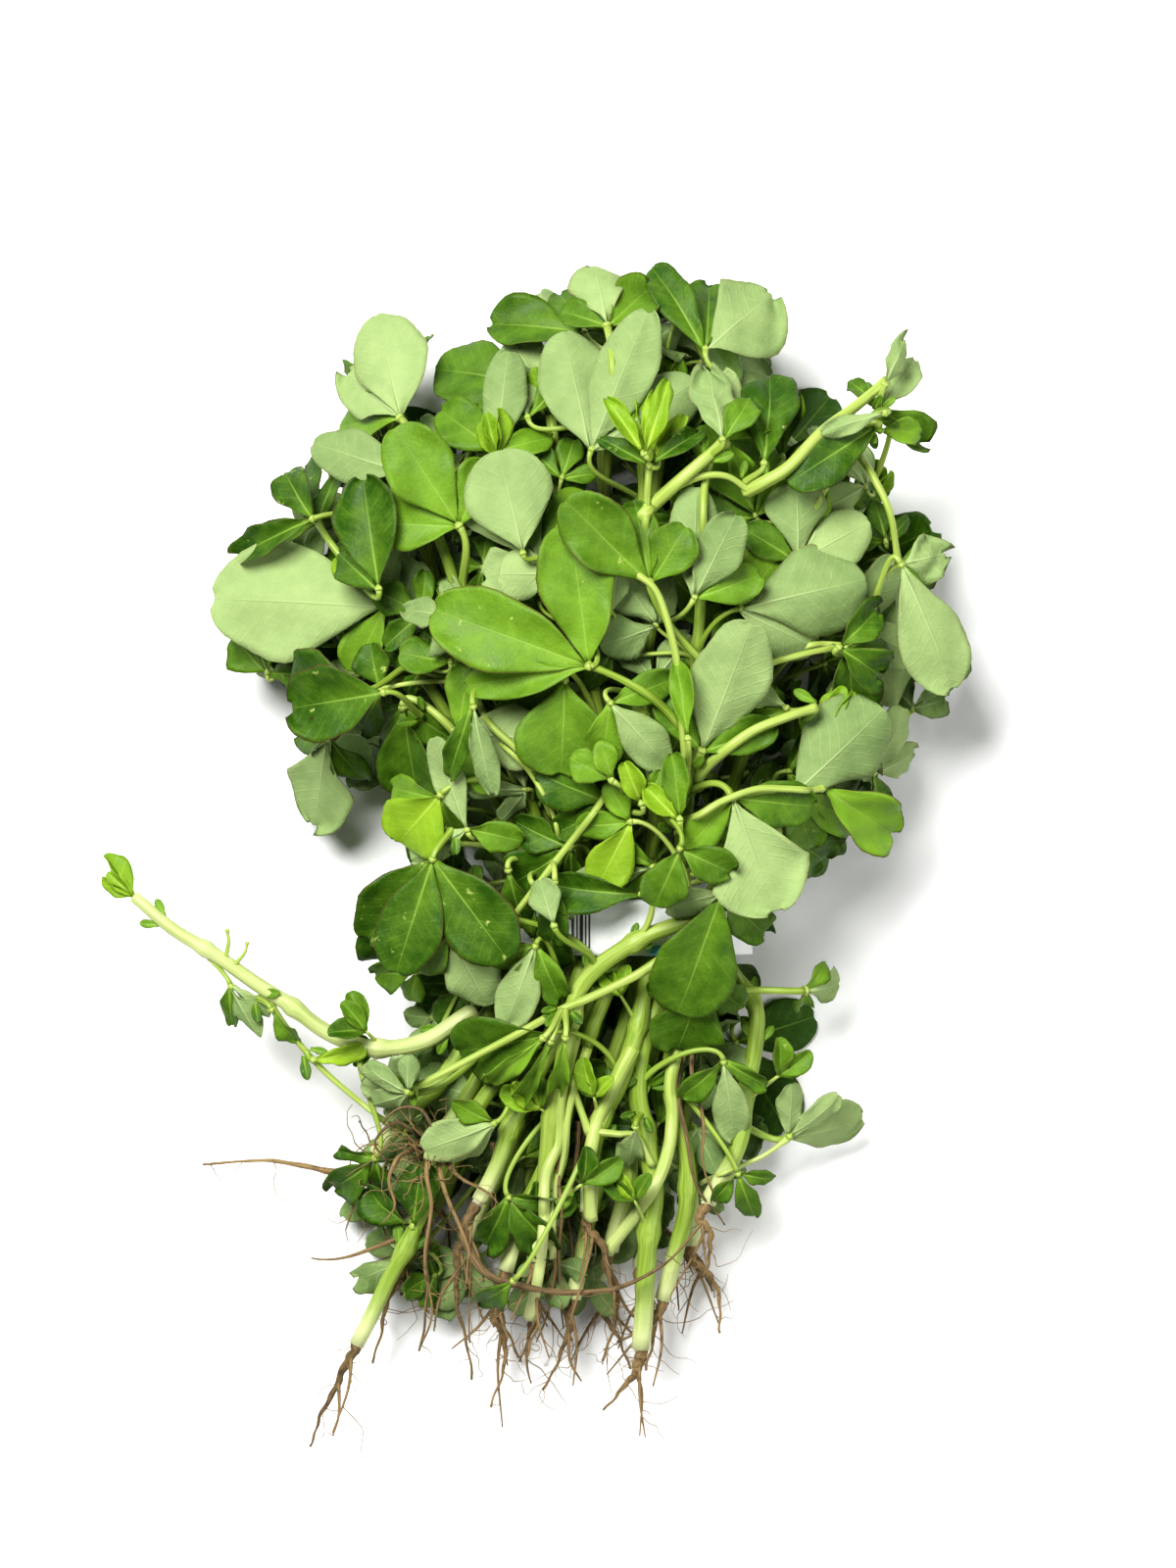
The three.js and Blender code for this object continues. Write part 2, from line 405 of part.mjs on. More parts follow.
// Whether a mesh crosses itself, counting only triangles that share no corner
function crossesItself(mesh) {
  const { tris, boxes } = shapeOf(mesh);
  const apart = (i, j) => !mesh.faces[i].some((corner) => mesh.faces[j].includes(corner));
  return tris.some((s, i) =>
    tris.some((t, j) => j > i && boxes[i].intersectsBox(boxes[j]) && apart(i, j) && trianglesMeet(s, t)),
  );
}

// Everything placed so far, as { plant, kind, shape }. A leaf's stalk may meet its own plant's stem.
const placed = [];
const blocked = (shape, plant) =>
  placed.some((other) => !(other.plant === plant && other.kind === "stem") && meets(shape, other.shape));

// Stems from the leafy tip, through the band, down to the root crown
function stemRoute([, [bandX, bandZ], tip, crown, , , bends]) {
  const neckTop = [bandX, BAND.y + NECK_HALF, bandZ];
  const neckFoot = [bandX - 0.5, BAND.y - NECK_HALF, bandZ - 0.3];
  const spread = [
    bandX + (tip[0] - bandX) * 0.42,
    BAND.y + NECK_HALF + (tip[1] - BAND.y - NECK_HALF) * 0.48,
    bandZ + (tip[2] - bandZ) * 0.66,
  ];
  const lower = [
    bandX + (crown[0] - bandX) * 0.52,
    BAND.y - NECK_HALF + (crown[1] - BAND.y + NECK_HALF) * 0.5,
    bandZ + (crown[2] - bandZ) * 0.55,
  ];
  return [tip, spread, neckTop, neckFoot, ...(bends ?? [lower]), crown].map(vec);
}

const plants = new Map();
function addPlant(name, route, footRadius) {
  const path = smooth(route, STEM_STEPS);
  const share = (i) => Math.min(1, (1.6 * i) / STEM_STEPS);
  const radii = path.map((_, i) => STEM_TIP_RADIUS + (footRadius - STEM_TIP_RADIUS) * share(i));
  const mesh = tube(path, radii, STEM_SIDES);
  plants.set(name, { name, path, parts: [mesh] });
  placed.push({ plant: name, kind: "stem", shape: shapeOf(mesh) });
}
PLANTS.forEach((row) => addPlant(row[0], stemRoute(row), row[4]));
SHOOTS.forEach(([name, radius, route]) => addPlant(name, route.map(vec), radius));

// The band: a ring with a flat underside where it is pressed on the surface
function bandMesh() {
  const ring = (grow) =>
    Array.from({ length: BAND.sides }, (_, k) => {
      const turn = (2 * Math.PI * (k + 0.5)) / BAND.sides;
      const low = FLOOR + BAND.thick - grow;
      const x = BAND.x + (BAND.halfWidth + grow) * Math.cos(turn);
      return [x, Math.max(BAND.z + (BAND.halfHeight + grow) * Math.sin(turn), low)];
    });
  const [outer, inner] = [ring(BAND.thick), ring(0)];
  const layer = (y) => [...outer, ...inner].map(([x, z]) => new THREE.Vector3(x, y, z));
  const points = [...layer(BAND.y - BAND.tall / 2), ...layer(BAND.y + BAND.tall / 2)];
  const n = BAND.sides;
  const faces = [];
  for (let k = 0; k < n; k++) {
    const m = (k + 1) % n;
    const wall = (a, b, c, d) => faces.push([a, b, c], [a, c, d]);
    wall(k, k + 2 * n, m + 2 * n, m);
    wall(k + n, m + n, m + 3 * n, k + 3 * n);
    wall(k, m, m + n, k + n);
    wall(k + 2 * n, k + 3 * n, m + 3 * n, m + 2 * n);
  }
  return { points, faces };
}
const band = bandMesh();
placed.push({ plant: "label_band", kind: "band", shape: shapeOf(band) });

// A taproot, just clear of the stem's foot, with side roots where there is room
const roots = new Map();
function addRoot(plantName, footRadius, ends, seed) {
  const name = "root_" + plantName;
  const stem = plants.get(plantName).path;
  const away = stem.at(-1).clone().sub(stem.at(-2)).normalize();
  const start = stem.at(-1).clone().addScaledVector(away, ROOT_GAP);
  const neck = start.clone().addScaledVector(away, 4);
  const path = smooth([start, neck, ...ends.map(vec)], 2 + ends.length);
  const radii = path.map((_, i) => Math.max(0.5, 0.85 * footRadius * Math.pow(1 - i / path.length, 0.8)));
  const taproot = tube(path, radii, ROOT_SIDES);
  const parts = [taproot];
  placed.push({ plant: name, kind: "stem", shape: shapeOf(taproot) });
  const random = draws(seed);
  for (let k = 0; k < ROOTLETS; k++) {
    const at = path[1 + (k % (path.length - 2))];
    const side = new THREE.Vector3(random() - 0.5, -0.35 - 0.5 * random(), 0.7 * (random() - 0.5)).normalize();
    const bent = new THREE.Vector3(random() - 0.5, random() - 0.8, random() - 0.6).multiplyScalar(7);
    const mid = at.clone().addScaledVector(side, 6 + 5 * random());
    const end = mid.clone().addScaledVector(side, 5 + 6 * random()).add(bent);
    mid.z = Math.max(mid.z, FLOOR + 1);
    end.z = Math.max(end.z, FLOOR + 0.8);
    const beyond = [at.clone().lerp(mid, 0.3), mid, end];
    if (blocked(shapeOf(tube(beyond, [0.8, 0.6, 0.4], 3, CLEARANCE)), name)) continue;
    const rootlet = tube([at, mid, end], [0.8, 0.6, 0.4], 3);
    parts.push(rootlet);
    placed.push({ plant: name, kind: "rootlet", shape: shapeOf(rootlet) });
  }
  roots.set(name, parts);
}
PLANTS.forEach(([name, , , , radius, ends], index) => addRoot(name, radius, ends, 100 + index));
const rooted = SHOOTS.filter(([, , , ends]) => ends);
rooted.forEach(([name, radius, , ends], index) => addRoot(name, radius, ends, 140 + index));

// The place on a stem where a stalk starts: near a wanted place, or a stalk's length behind the junction
function attachments(junction, wanted) {
  const choices = [];
  for (const plant of plants.values())
    plant.path.slice(0, -2).forEach((at, i) => {
      const reach = at.distanceTo(junction);
      if (reach < 9 || reach > 62) return;
      const behind = Math.max(0, at.y - junction.y + 6);
      const cost = wanted
        ? Math.hypot(at.x - wanted[0], at.y - wanted[1]) + 0.3 * Math.abs(at.z - junction.z)
        : Math.abs(reach - 26) + 0.5 * (junction.y > BAND.y ? behind : 0);
      choices.push({ plant, at, i, cost });
    });
  choices.sort((a, b) => a.cost - b.cost);
  const seen = new Set();
  return choices.filter(({ plant }) => !seen.has(plant.name) && seen.add(plant.name)).slice(0, 5);
}

const LIFTS = [0, 2, -2, 4, -4, 6.5, -6.5, 9, -9, 12, -12];
const TILTS = [0, 9, -9, 18, -18];
// Tries a leaf on the stems near it, higher, lower and tilted, and keeps the first place that is clear.
// If a leaf finds none with all its leaflets, it is tried with fewer.
function placeLeaf(seed, junction, wanted, rows, options) {
  for (let count = rows.length; count >= options.fewest; count--)
    for (const lift of options.lifts)
      for (const tilt of options.tilts) {
        const end = new THREE.Vector3(junction[0], junction[1], junction[2] + lift);
        const normal = options.flat ? UP : domeNormal(end, options.share);
        const relief = options.flat ? 0 : 1;
        const leaf = leafOf(end, normal, rows.slice(0, count), tilt, draws(seed), relief);
        const found = fittingStalk(leaf, wanted);
        if (!found) continue;
        keep(found);
        return true;
      }
  return false;
}

function fittingStalk(leaf, wanted) {
  const back = leaf.junction.clone().addScaledVector(leaf.along, -HUB_HALF);
  const blades = leafMesh([leaf.junction, back], leaf, CLEARANCE);
  if (blades.points.slice(4).some((p) => p.z < FLOOR - CLEARANCE - 1e-6)) return null;
  const beyondStalk = shapeOf({ points: blades.points, faces: blades.faces.slice(blades.stalkFaces) });
  if (blocked(beyondStalk, null)) return null;
  for (const { plant, at, i } of attachments(leaf.junction, wanted)) {
    const heading = plant.path[i].clone().sub(plant.path[i + 1]).normalize();
    const path = stalkPath(at, heading, leaf);
    if (path.slice(0, -1).some((p) => p.z < STALK_RADIUS + FLOOR)) continue;
    const grown = leafMesh(path, leaf, CLEARANCE);
    const stalk = shapeOf({ points: grown.points, faces: grown.faces.slice(0, grown.stalkFaces) });
    if (blocked(stalk, plant.name)) continue;
    const mesh = leafMesh(path, leaf);
    if (crossesItself(mesh)) continue;
    return { plant, mesh };
  }
  return null;
}

function keep({ plant, mesh }) {
  plant.parts.push(mesh);
  placed.push({ plant: plant.name, kind: "leaf", shape: shapeOf(mesh) });
}

const lying = { fewest: 2, flat: true, lifts: [0, 0.5, 1, 2], tilts: [0] };
PRESSED.forEach(([x, y, azimuth], index) => {
  const rows = [0, 78, -78].map((turn) => [azimuth + turn, turn ? 22 : 27, 0.68, 0, -1]);
  placeLeaf(600 + index, [x, y, BLADE_THICKNESS / 2], null, rows, lying);
});

const shown = { fewest: 1, share: 0.42, lifts: LIFTS, tilts: TILTS };
LEAVES.forEach(([junction, wanted, ...rows], index) => placeLeaf(index, junction, wanted, rows, shown));

const GOLDEN = Math.PI * (3 - Math.sqrt(5));
const EVEN_STEP = 0.7548776662; // its multiples, less their whole parts, spread evenly from 0 to 1
const filling = { fewest: 2, share: 0.7, lifts: LIFTS, tilts: TILTS };
let filled = 0;
for (let k = 0; k < FILLERS.tries && filled < FILLERS.count; k++) {
  const random = draws(FILLERS.seed + k);
  const z = 0.4 - 1.2 * ((k * EVEN_STEP) % 1);
  const around = k * GOLDEN;
  const inset = FILLERS.outermost + (FILLERS.innermost - FILLERS.outermost) * random();
  const level = Math.sqrt(1 - z * z) * inset;
  const junction = [
    HEAD.x + HEAD.a * level * Math.cos(around),
    HEAD.y + HEAD.b * level * Math.sin(around),
    Math.max(HEAD.z + HEAD.c * inset * z, FILLERS.lowest),
  ];
  const outward = THREE.MathUtils.radToDeg(Math.atan2(junction[1] + 30, junction[0] - HEAD.x));
  const azimuth = outward + 50 * (random() - 0.5);
  const rows = [0, 72, -72].map((turn) => {
    const length = FILLERS.length * (turn ? 0.85 : 1) * (0.8 + 0.4 * random());
    return [azimuth + turn, length, 0.62, turn ? -6 : 4, random() < 0.5 ? 1 : -1];
  });
  if (placeLeaf(300 + k, junction, null, rows, filling)) filled++;
}

// A closed mesh as a solid, to be fused with others
function solid({ points, faces }) {
  const geometry = new THREE.BufferGeometry().setFromPoints(points).setIndex(faces.flat());
  const merged = mergeVertices(geometry, 1e-5);
  const mesh = new wasm.Mesh({
    numProp: 3,
    vertProperties: merged.attributes.position.array,
    triVerts: new Uint32Array(merged.index.array),
  });
  return new wasm.Manifold(mesh);
}

// The parts of a plant or a root fused into one body
function geometryOf(parts) {
  const { vertProperties, triVerts } = parts.map(solid).reduce((a, b) => a.add(b)).getMesh();
  return new THREE.BufferGeometry()
    .setAttribute("position", new THREE.BufferAttribute(vertProperties, 3))
    .setIndex(new THREE.BufferAttribute(triVerts, 1));
}

const GREEN = new THREE.MeshStandardMaterial({ color: "#6f9a45", roughness: 0.6, metalness: 0 });
const BROWN = new THREE.MeshStandardMaterial({ color: "#7a5a3c", roughness: 0.9, metalness: 0 });
const PAPER = new THREE.MeshStandardMaterial({ color: "#f2f3f2", roughness: 0.45, metalness: 0 });

const group = new THREE.Group();
function add(name, parts, material) {
  const mesh = new THREE.Mesh(geometryOf(parts), material);
  mesh.name = name;
  group.add(mesh);
}
for (const { name, parts } of plants.values()) add("stem_" + name, parts, GREEN);
for (const [name, parts] of roots) add(name, parts, BROWN);
add("label_band", [band], PAPER);

// The frame's origin is under the middle of the bunch, on the surface that it lies on.
const bounds = new THREE.Box3().setFromObject(group);
group.position.set(-(bounds.min.x + bounds.max.x) / 2, -(bounds.min.y + bounds.max.y) / 2, -bounds.min.z);

export default group;
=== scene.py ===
# %% [markdown]
# # A tied bunch of fenugreek greens
# Fenugreek is sold as whole young plants: each has a taproot, a pale ribbed stem and leaves of three
# leaflets, and one paper band holds some twenty of them. The bunch lies flat and is seen from straight
# above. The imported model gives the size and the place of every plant, so it is loaded first, and each
# plant is then grown again here with thin blades, veins, nodes and hairy roots.

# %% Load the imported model
import functools
import math

import bpy
import numpy as np
from mathutils.bvhtree import BVHTree
from mathutils.kdtree import KDTree
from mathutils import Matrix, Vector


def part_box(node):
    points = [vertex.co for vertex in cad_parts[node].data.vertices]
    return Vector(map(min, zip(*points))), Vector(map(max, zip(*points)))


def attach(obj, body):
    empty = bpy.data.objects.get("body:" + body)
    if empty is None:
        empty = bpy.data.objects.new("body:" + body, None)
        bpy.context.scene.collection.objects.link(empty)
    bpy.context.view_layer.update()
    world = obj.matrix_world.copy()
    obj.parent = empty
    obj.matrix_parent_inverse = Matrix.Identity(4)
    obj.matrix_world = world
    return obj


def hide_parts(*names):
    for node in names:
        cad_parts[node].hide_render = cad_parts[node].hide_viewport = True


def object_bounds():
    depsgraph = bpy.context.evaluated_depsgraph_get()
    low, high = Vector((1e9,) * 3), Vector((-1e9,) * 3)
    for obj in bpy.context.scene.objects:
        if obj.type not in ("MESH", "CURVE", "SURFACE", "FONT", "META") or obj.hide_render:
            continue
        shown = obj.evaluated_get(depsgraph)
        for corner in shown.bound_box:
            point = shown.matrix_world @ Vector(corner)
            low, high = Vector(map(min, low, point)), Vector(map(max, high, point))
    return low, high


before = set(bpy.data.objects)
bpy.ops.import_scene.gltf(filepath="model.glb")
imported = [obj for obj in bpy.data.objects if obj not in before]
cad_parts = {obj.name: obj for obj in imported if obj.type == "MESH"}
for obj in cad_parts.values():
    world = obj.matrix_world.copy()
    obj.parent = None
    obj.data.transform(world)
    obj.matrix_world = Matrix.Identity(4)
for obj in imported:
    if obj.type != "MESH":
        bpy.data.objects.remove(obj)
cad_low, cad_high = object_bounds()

MM = 0.001
print("the packed bunch is", [round((b - a) / MM, 1) for a, b in zip(cad_low, cad_high)], "mm")

# %% [markdown]
# The plants are described in a plan of the bunch, in millimetres: X across it, Y from roots to leaves,
# Z up from the table. The plan's origin is the middle of the picture. Only one shift separates it from
# the frame, and the band gives it: its middle is known in both.

# %% Where the plan lies in the frame
BAND_MIDDLE = (12.0, -38.0)
band_low, band_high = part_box("label_band")
SHIFT = np.array([
    (band_low[0] + band_high[0]) / 2 / MM - BAND_MIDDLE[0],
    (band_low[1] + band_high[1]) / 2 / MM - BAND_MIDDLE[1],
    0.0,
])
print("plan to frame:", SHIFT.round(2), "mm")

# %% [markdown]
# The bunch was photographed from right above. A long lens from two metres keeps the near leaves and the
# far ones at almost one scale, as in the picture, which takes in 312 mm from side to side.

# %% The camera, straight above
VIEW_WIDTH = 312.0
CAMERA_RISE = 2000.0
MIDDLE_HEIGHT = 40.0

camera_data = bpy.data.cameras.new("camera")
camera_data.sensor_fit = "HORIZONTAL"
camera_data.sensor_width = 36.0
camera_data.lens = camera_data.sensor_width * CAMERA_RISE / VIEW_WIDTH
camera = bpy.data.objects.new("camera", camera_data)
camera.location = (SHIFT[0] * MM, SHIFT[1] * MM, (MIDDLE_HEIGHT + CAMERA_RISE) * MM)
bpy.context.scene.collection.objects.link(camera)
bpy.context.scene.camera = camera
print("lens", round(camera_data.lens, 1), "mm")

# %% [markdown]
# Soft light from a wide lamp above and to the left shapes the leaves, a weaker one fills from the right,
# and a dim white world keeps the shadows open. The standard colour transform shows the greens as they are
# written, and its look with a little more contrast keeps the gaps between the leaves dark.

# %% Light
MIDDLE_RISE = 0.03  # metres from the table up to the point that the lamps face
KEY_WATTS = 111.0
FILL_WATTS = 21.0
WORLD_STRENGTH = 0.11


def lamp(name, place, size, watts):
    """A square soft lamp at a place in metres, facing the middle of the bunch."""
    data = bpy.data.lights.new(name, "AREA")
    data.size = size
    data.energy = watts
    made = bpy.data.objects.new(name, data)
    made.location = place
    aim = made.location.copy()
    aim.z -= MIDDLE_RISE
    made.rotation_mode = "QUATERNION"
    made.rotation_quaternion = aim.to_track_quat("Z", "Y")
    bpy.context.scene.collection.objects.link(made)


lamp("key_lamp", (-0.8, 1.1, 2.3), 1.2, KEY_WATTS)
lamp("fill_lamp", (1.4, -0.6, 1.7), 1.5, FILL_WATTS)
print("lamps:", KEY_WATTS, "and", FILL_WATTS, "watts")

world = bpy.data.worlds.new("studio")
world.use_nodes = True
background = world.node_tree.nodes["Background"]
background.inputs["Color"].default_value = (1.0, 1.0, 1.0, 1.0)
background.inputs["Strength"].default_value = WORLD_STRENGTH
bpy.context.scene.world = world
bpy.context.scene.view_settings.view_transform = "Standard"
bpy.context.scene.view_settings.look = "Medium High Contrast"

# %% [markdown]
# ## Finishes
# Colours are written as they are read off a screen, in sRGB hex, and Blender's sockets want them linear.
# One small function adds a node and fills its inputs, either with a value or with a link. Most nodes give
# only one thing, so a node can stand for its own first output.

# %% Helpers for the finishes
def linear(colour):
    """An sRGB hex colour as the linear RGBA that a socket takes."""
    shares = [int(colour[i:i + 2], 16) / 255 for i in (1, 3, 5)]
    return tuple(c / 12.92 if c <= 0.04045 else ((c + 0.055) / 1.055) ** 2.4 for c in shares) + (1.0,)


def per_metre(size):
    """A noise's scale, from the real size of its spots in millimetres."""
    return 1 / (size * MM)


def node(tree, kind, inputs=None, **settings):
    """Adds a node: its inputs as values, or as sockets or nodes to link, and its own settings by name."""
    made = tree.nodes.new("ShaderNode" + kind)
    for name, value in settings.items():
        setattr(made, name, value)
    for key, value in (inputs or {}).items():
        if isinstance(value, bpy.types.Node):
            value = value.outputs[0]
        if isinstance(value, bpy.types.NodeSocket):
            tree.links.new(value, made.inputs[key])
        else:
            made.inputs[key].default_value = value
    return made


MULTIPLY = {"operation": "MULTIPLY"}
MULTIPLY_ADD = {"operation": "MULTIPLY_ADD"}
CLAMPED_ADD = {"operation": "ADD", "use_clamp": True}
COLOURS = {"data_type": "RGBA"}
EASED = {"interpolation_type": "SMOOTHSTEP"}


def new_material(name):
    """An empty node material, and the function that adds a node to it."""
    material = bpy.data.materials.new(name)
    material.use_nodes = True
    material.node_tree.nodes.clear()
    return material, functools.partial(node, material.node_tree)


def stored_at_points(add):
    """What the plants' finishes read: the stored "blade" and "tone", and the place in the object."""
    blade = add("Attribute", attribute_name="blade").outputs["Vector"]
    tones = add("Attribute", attribute_name="tone").outputs["Vector"]
    tone = add("SeparateXYZ", {"Vector": tones}).outputs
    return blade, tone, add("TexCoord").outputs["Object"]


print("white is", linear("#ffffff"))

# %% [markdown]
# ### Leaf blades
# A fenugreek leaflet has a waxy upper face, mid green and softly glossy, and a matt underside, much paler
# and greyer. Both show a pale midrib, with fine side veins that leave it every three millimetres or so at
# a slant. One recipe makes all the blades. It reads two things stored at each point of a blade: "blade",
# the millimetres along and across it, and "tone", the leaflet's own shade, its wear, and how near the
# rim the point is. Cuticle wax has an IOR of about 1.45.

# %% Leaf blades
VEIN_SPACING = 3.2
VEIN_SLANT = 1.05
VEIN_WAVES = 3.85  # how long a bend in a side vein is
MOTTLE = 5.0
WORN_SPOTS = 4.76
GRAIN = 0.8
WAX_IOR = 1.45
SHEEN = 0.24


def blade_skin(name, shades, vein, worn, rim, roughness, vein_share, relief):
    """A blade's finish: its two shades, the colours of its veins, worn spots and rim, and its surface."""
    material, add = new_material(name)
    blade, tone, own = stored_at_points(add)
    place = add("SeparateXYZ", {"Vector": blade}).outputs

    across = add("Math", {0: place["Y"]}, operation="ABSOLUTE")
    thin = add("Math", {0: place["Z"], 1: -0.42, 2: 0.62}, **MULTIPLY_ADD)
    midrib = add("MapRange", {"Value": across, "From Min": 0.0, "From Max": thin, "To Min": 1.0,
                              "To Max": 0.0}, **EASED)
    fading = add("MapRange", {"Value": place["Z"], "From Min": 0.2, "From Max": 0.95, "To Min": 0.85,
                              "To Max": 0.25})
    rib = add("Math", {0: midrib, 1: fading}, **MULTIPLY)
    mottle = add("TexNoise", {"Vector": own, "Scale": per_metre(MOTTLE), "Detail": 4.0})
    grain = add("TexNoise", {"Vector": own, "Scale": per_metre(GRAIN), "Detail": 2.0})
    wander = add("TexNoise", {"Vector": own, "Scale": per_metre(VEIN_WAVES), "Detail": 1.0})
    bent = add("Math", {0: across, 1: 0.88}, operation="POWER")
    back = add("Math", {0: bent, 1: -VEIN_SLANT, 2: place["X"]}, **MULTIPLY_ADD)
    wavy = add("Math", {0: wander, 1: 1.6, 2: back}, **MULTIPLY_ADD)
    turn = add("Math", {0: wavy, 1: 2 * math.pi / VEIN_SPACING}, **MULTIPLY)
    ridge = add("Math", {0: turn}, operation="SINE")
    veins = add("MapRange", {"Value": ridge, "From Min": 0.8, "From Max": 1.0}, **EASED)
    patchy = add("MapRange", {"Value": mottle, "From Min": 0.35, "From Max": 0.6,
                              "To Min": 0.15 * vein_share, "To Max": vein_share})
    soft = add("Math", {0: veins, 1: patchy}, **MULTIPLY)
    lines = add("Math", {0: rib, 1: soft}, operation="MAXIMUM")

    beside = add("MapRange", {"Value": across, "From Min": 0.0, "From Max": 6.0, "To Min": 0.4,
                              "To Max": 0.0})
    low_part = add("MapRange", {"Value": place["Z"], "From Min": 0.0, "From Max": 0.75, "To Min": 1.0,
                                "To Max": 0.0})
    heart = add("Math", {0: beside, 1: low_part, 2: tone["X"]}, **MULTIPLY_ADD)
    cloudy = add("Math", {0: mottle, 1: 0.8, 2: -0.52}, **MULTIPLY_ADD)
    cloudy = add("Math", {0: grain, 1: 0.24, 2: cloudy}, **MULTIPLY_ADD)
    shade = add("Math", {0: cloudy, 1: heart}, **CLAMPED_ADD)
    colour = add("Mix", {0: shade, 6: linear(shades[0]), 7: linear(shades[1])}, **COLOURS).outputs[2]
    colour = add("Mix", {0: lines, 6: colour, 7: linear(vein)}, **COLOURS).outputs[2]

    specks = add("TexNoise", {"Vector": own, "Scale": per_metre(WORN_SPOTS), "Detail": 3.0, "Roughness": 0.7})
    limit = add("Math", {0: tone["Y"], 1: -0.22, 2: 0.86}, **MULTIPLY_ADD)
    full = add("Math", {0: limit, 1: 0.09}, operation="ADD")
    spots = add("MapRange", {"Value": specks, "From Min": limit, "From Max": full, "To Max": 0.75})
    colour = add("Mix", {0: spots, 6: colour, 7: linear(worn)}, **COLOURS).outputs[2]

    brink = add("MapRange", {"Value": tone["Z"], "From Min": 0.93, "From Max": 1.0, "To Max": 0.7}, **EASED)
    margin = add("Math", {0: brink, 1: tone["Y"]}, **MULTIPLY)
    colour = add("Mix", {0: margin, 6: colour, 7: linear(rim)}, **COLOURS).outputs[2]

    height = add("Math", {0: lines, 1: relief, 2: grain}, **MULTIPLY_ADD)
    height = add("Math", {0: mottle, 1: 2.0, 2: height}, **MULTIPLY_ADD)
    bump = add("Bump", {"Height": height, "Strength": 0.45, "Distance": 0.0003})
    polish = add("MapRange", {"Value": mottle, "From Min": 0.3, "From Max": 0.7,
                              "To Min": roughness - 0.07, "To Max": roughness + 0.07})
    skin = add("BsdfPrincipled", {"Base Color": colour, "Roughness": polish, "IOR": WAX_IOR,
                                  "Specular IOR Level": SHEEN, "Normal": bump})
    add("OutputMaterial", {"Surface": skin})
    return material


UPPER = blade_skin("waxy_upper_face", ("#2e5009", "#749a2a"), vein="#86a544", worn="#b9c672", rim="#5a3f2c",
                   roughness=0.5, vein_share=0.12, relief=-1.2)
UNDER = blade_skin("matt_underside", ("#6f8750", "#98ad70"), vein="#a9bd80", worn="#87914f", rim="#7d6a48",
                   roughness=0.72, vein_share=0.2, relief=3.2)
YOUNG = blade_skin("young_blade", ("#648a18", "#8eae2c"), vein="#b0c856", worn="#cdd45c", rim="#7d9a2a",
                   roughness=0.52, vein_share=0.18, relief=0.8)
print("blade finishes:", [m.name for m in (UPPER, UNDER, YOUNG)])

# %% [markdown]
# ### Stems and stalks
# Fenugreek stems are round, juicy and finely ribbed. They are leaf green among the leaves and turn almost
# cream near the root, where no light reached them. The stored "blade" of a stem point is its distance
# along the stem and its place round it, so ribs and streaks follow the stem through every bend. "tone"
# holds the plant's own shade, and how far down towards the root the point is.

# %% Stems and stalks
RIB_WIDTH = 0.7
STREAK_LENGTH = 16.0
BLOTCHES = 11.1
SCUFFS = 3.33

STEM, add = new_material("ribbed_green_stem")
blade, tone, own = stored_at_points(add)
long_way = add("VectorMath", {0: blade, 1: (1 / STREAK_LENGTH, 1 / RIB_WIDTH, 1 / RIB_WIDTH)}, **MULTIPLY)
streaks = add("TexNoise", {"Vector": long_way, "Scale": 1.0, "Detail": 3.0})
blotch = add("TexNoise", {"Vector": own, "Scale": per_metre(BLOTCHES), "Detail": 3.0})
shade = add("Math", {0: streaks, 1: 1.4, 2: -0.6}, **MULTIPLY_ADD)
shade = add("Math", {0: shade, 1: tone["X"]}, **CLAMPED_ADD)
green = add("Mix", {0: shade, 6: linear("#769228"), 7: linear("#b3c567")}, **COLOURS).outputs[2]
foot = add("Math", {0: blotch, 1: 0.35, 2: tone["Z"]}, **MULTIPLY_ADD)
blanched = add("MapRange", {"Value": foot, "From Min": 0.5, "From Max": 1.3, "To Max": 0.75}, **EASED)
skin_colour = add("Mix", {0: blanched, 6: green, 7: linear("#dde0ac")}, **COLOURS).outputs[2]
scuff = add("TexNoise", {"Vector": own, "Scale": per_metre(SCUFFS), "Detail": 4.0, "Roughness": 0.7})
marks = add("MapRange", {"Value": scuff, "From Min": 0.66, "From Max": 0.75, "To Max": 0.5})
skin_colour = add("Mix", {0: marks, 6: skin_colour, 7: linear("#8a8048")}, **COLOURS).outputs[2]
bump = add("Bump", {"Height": streaks, "Strength": 0.6, "Distance": 0.0004})
skin = add("BsdfPrincipled", {"Base Color": skin_colour, "Roughness": 0.42, "IOR": WAX_IOR, "Normal": bump})
add("OutputMaterial", {"Surface": skin})
print("stem finish:", STEM.name, "with ribs of", RIB_WIDTH, "mm")

# %% [markdown]
# ### Roots
# The taproot's bark is thin, brown and dull, wrinkled along its length, and it still carries a little dry
# soil. It flakes off near the crown, where the white root shows. The hair roots are the same bark, drier
# and paler.

# %% Root bark
BARK_WRINKLE = 0.5
WRINKLE_LENGTH = 5.56
SOIL_GRAINS = 2.38

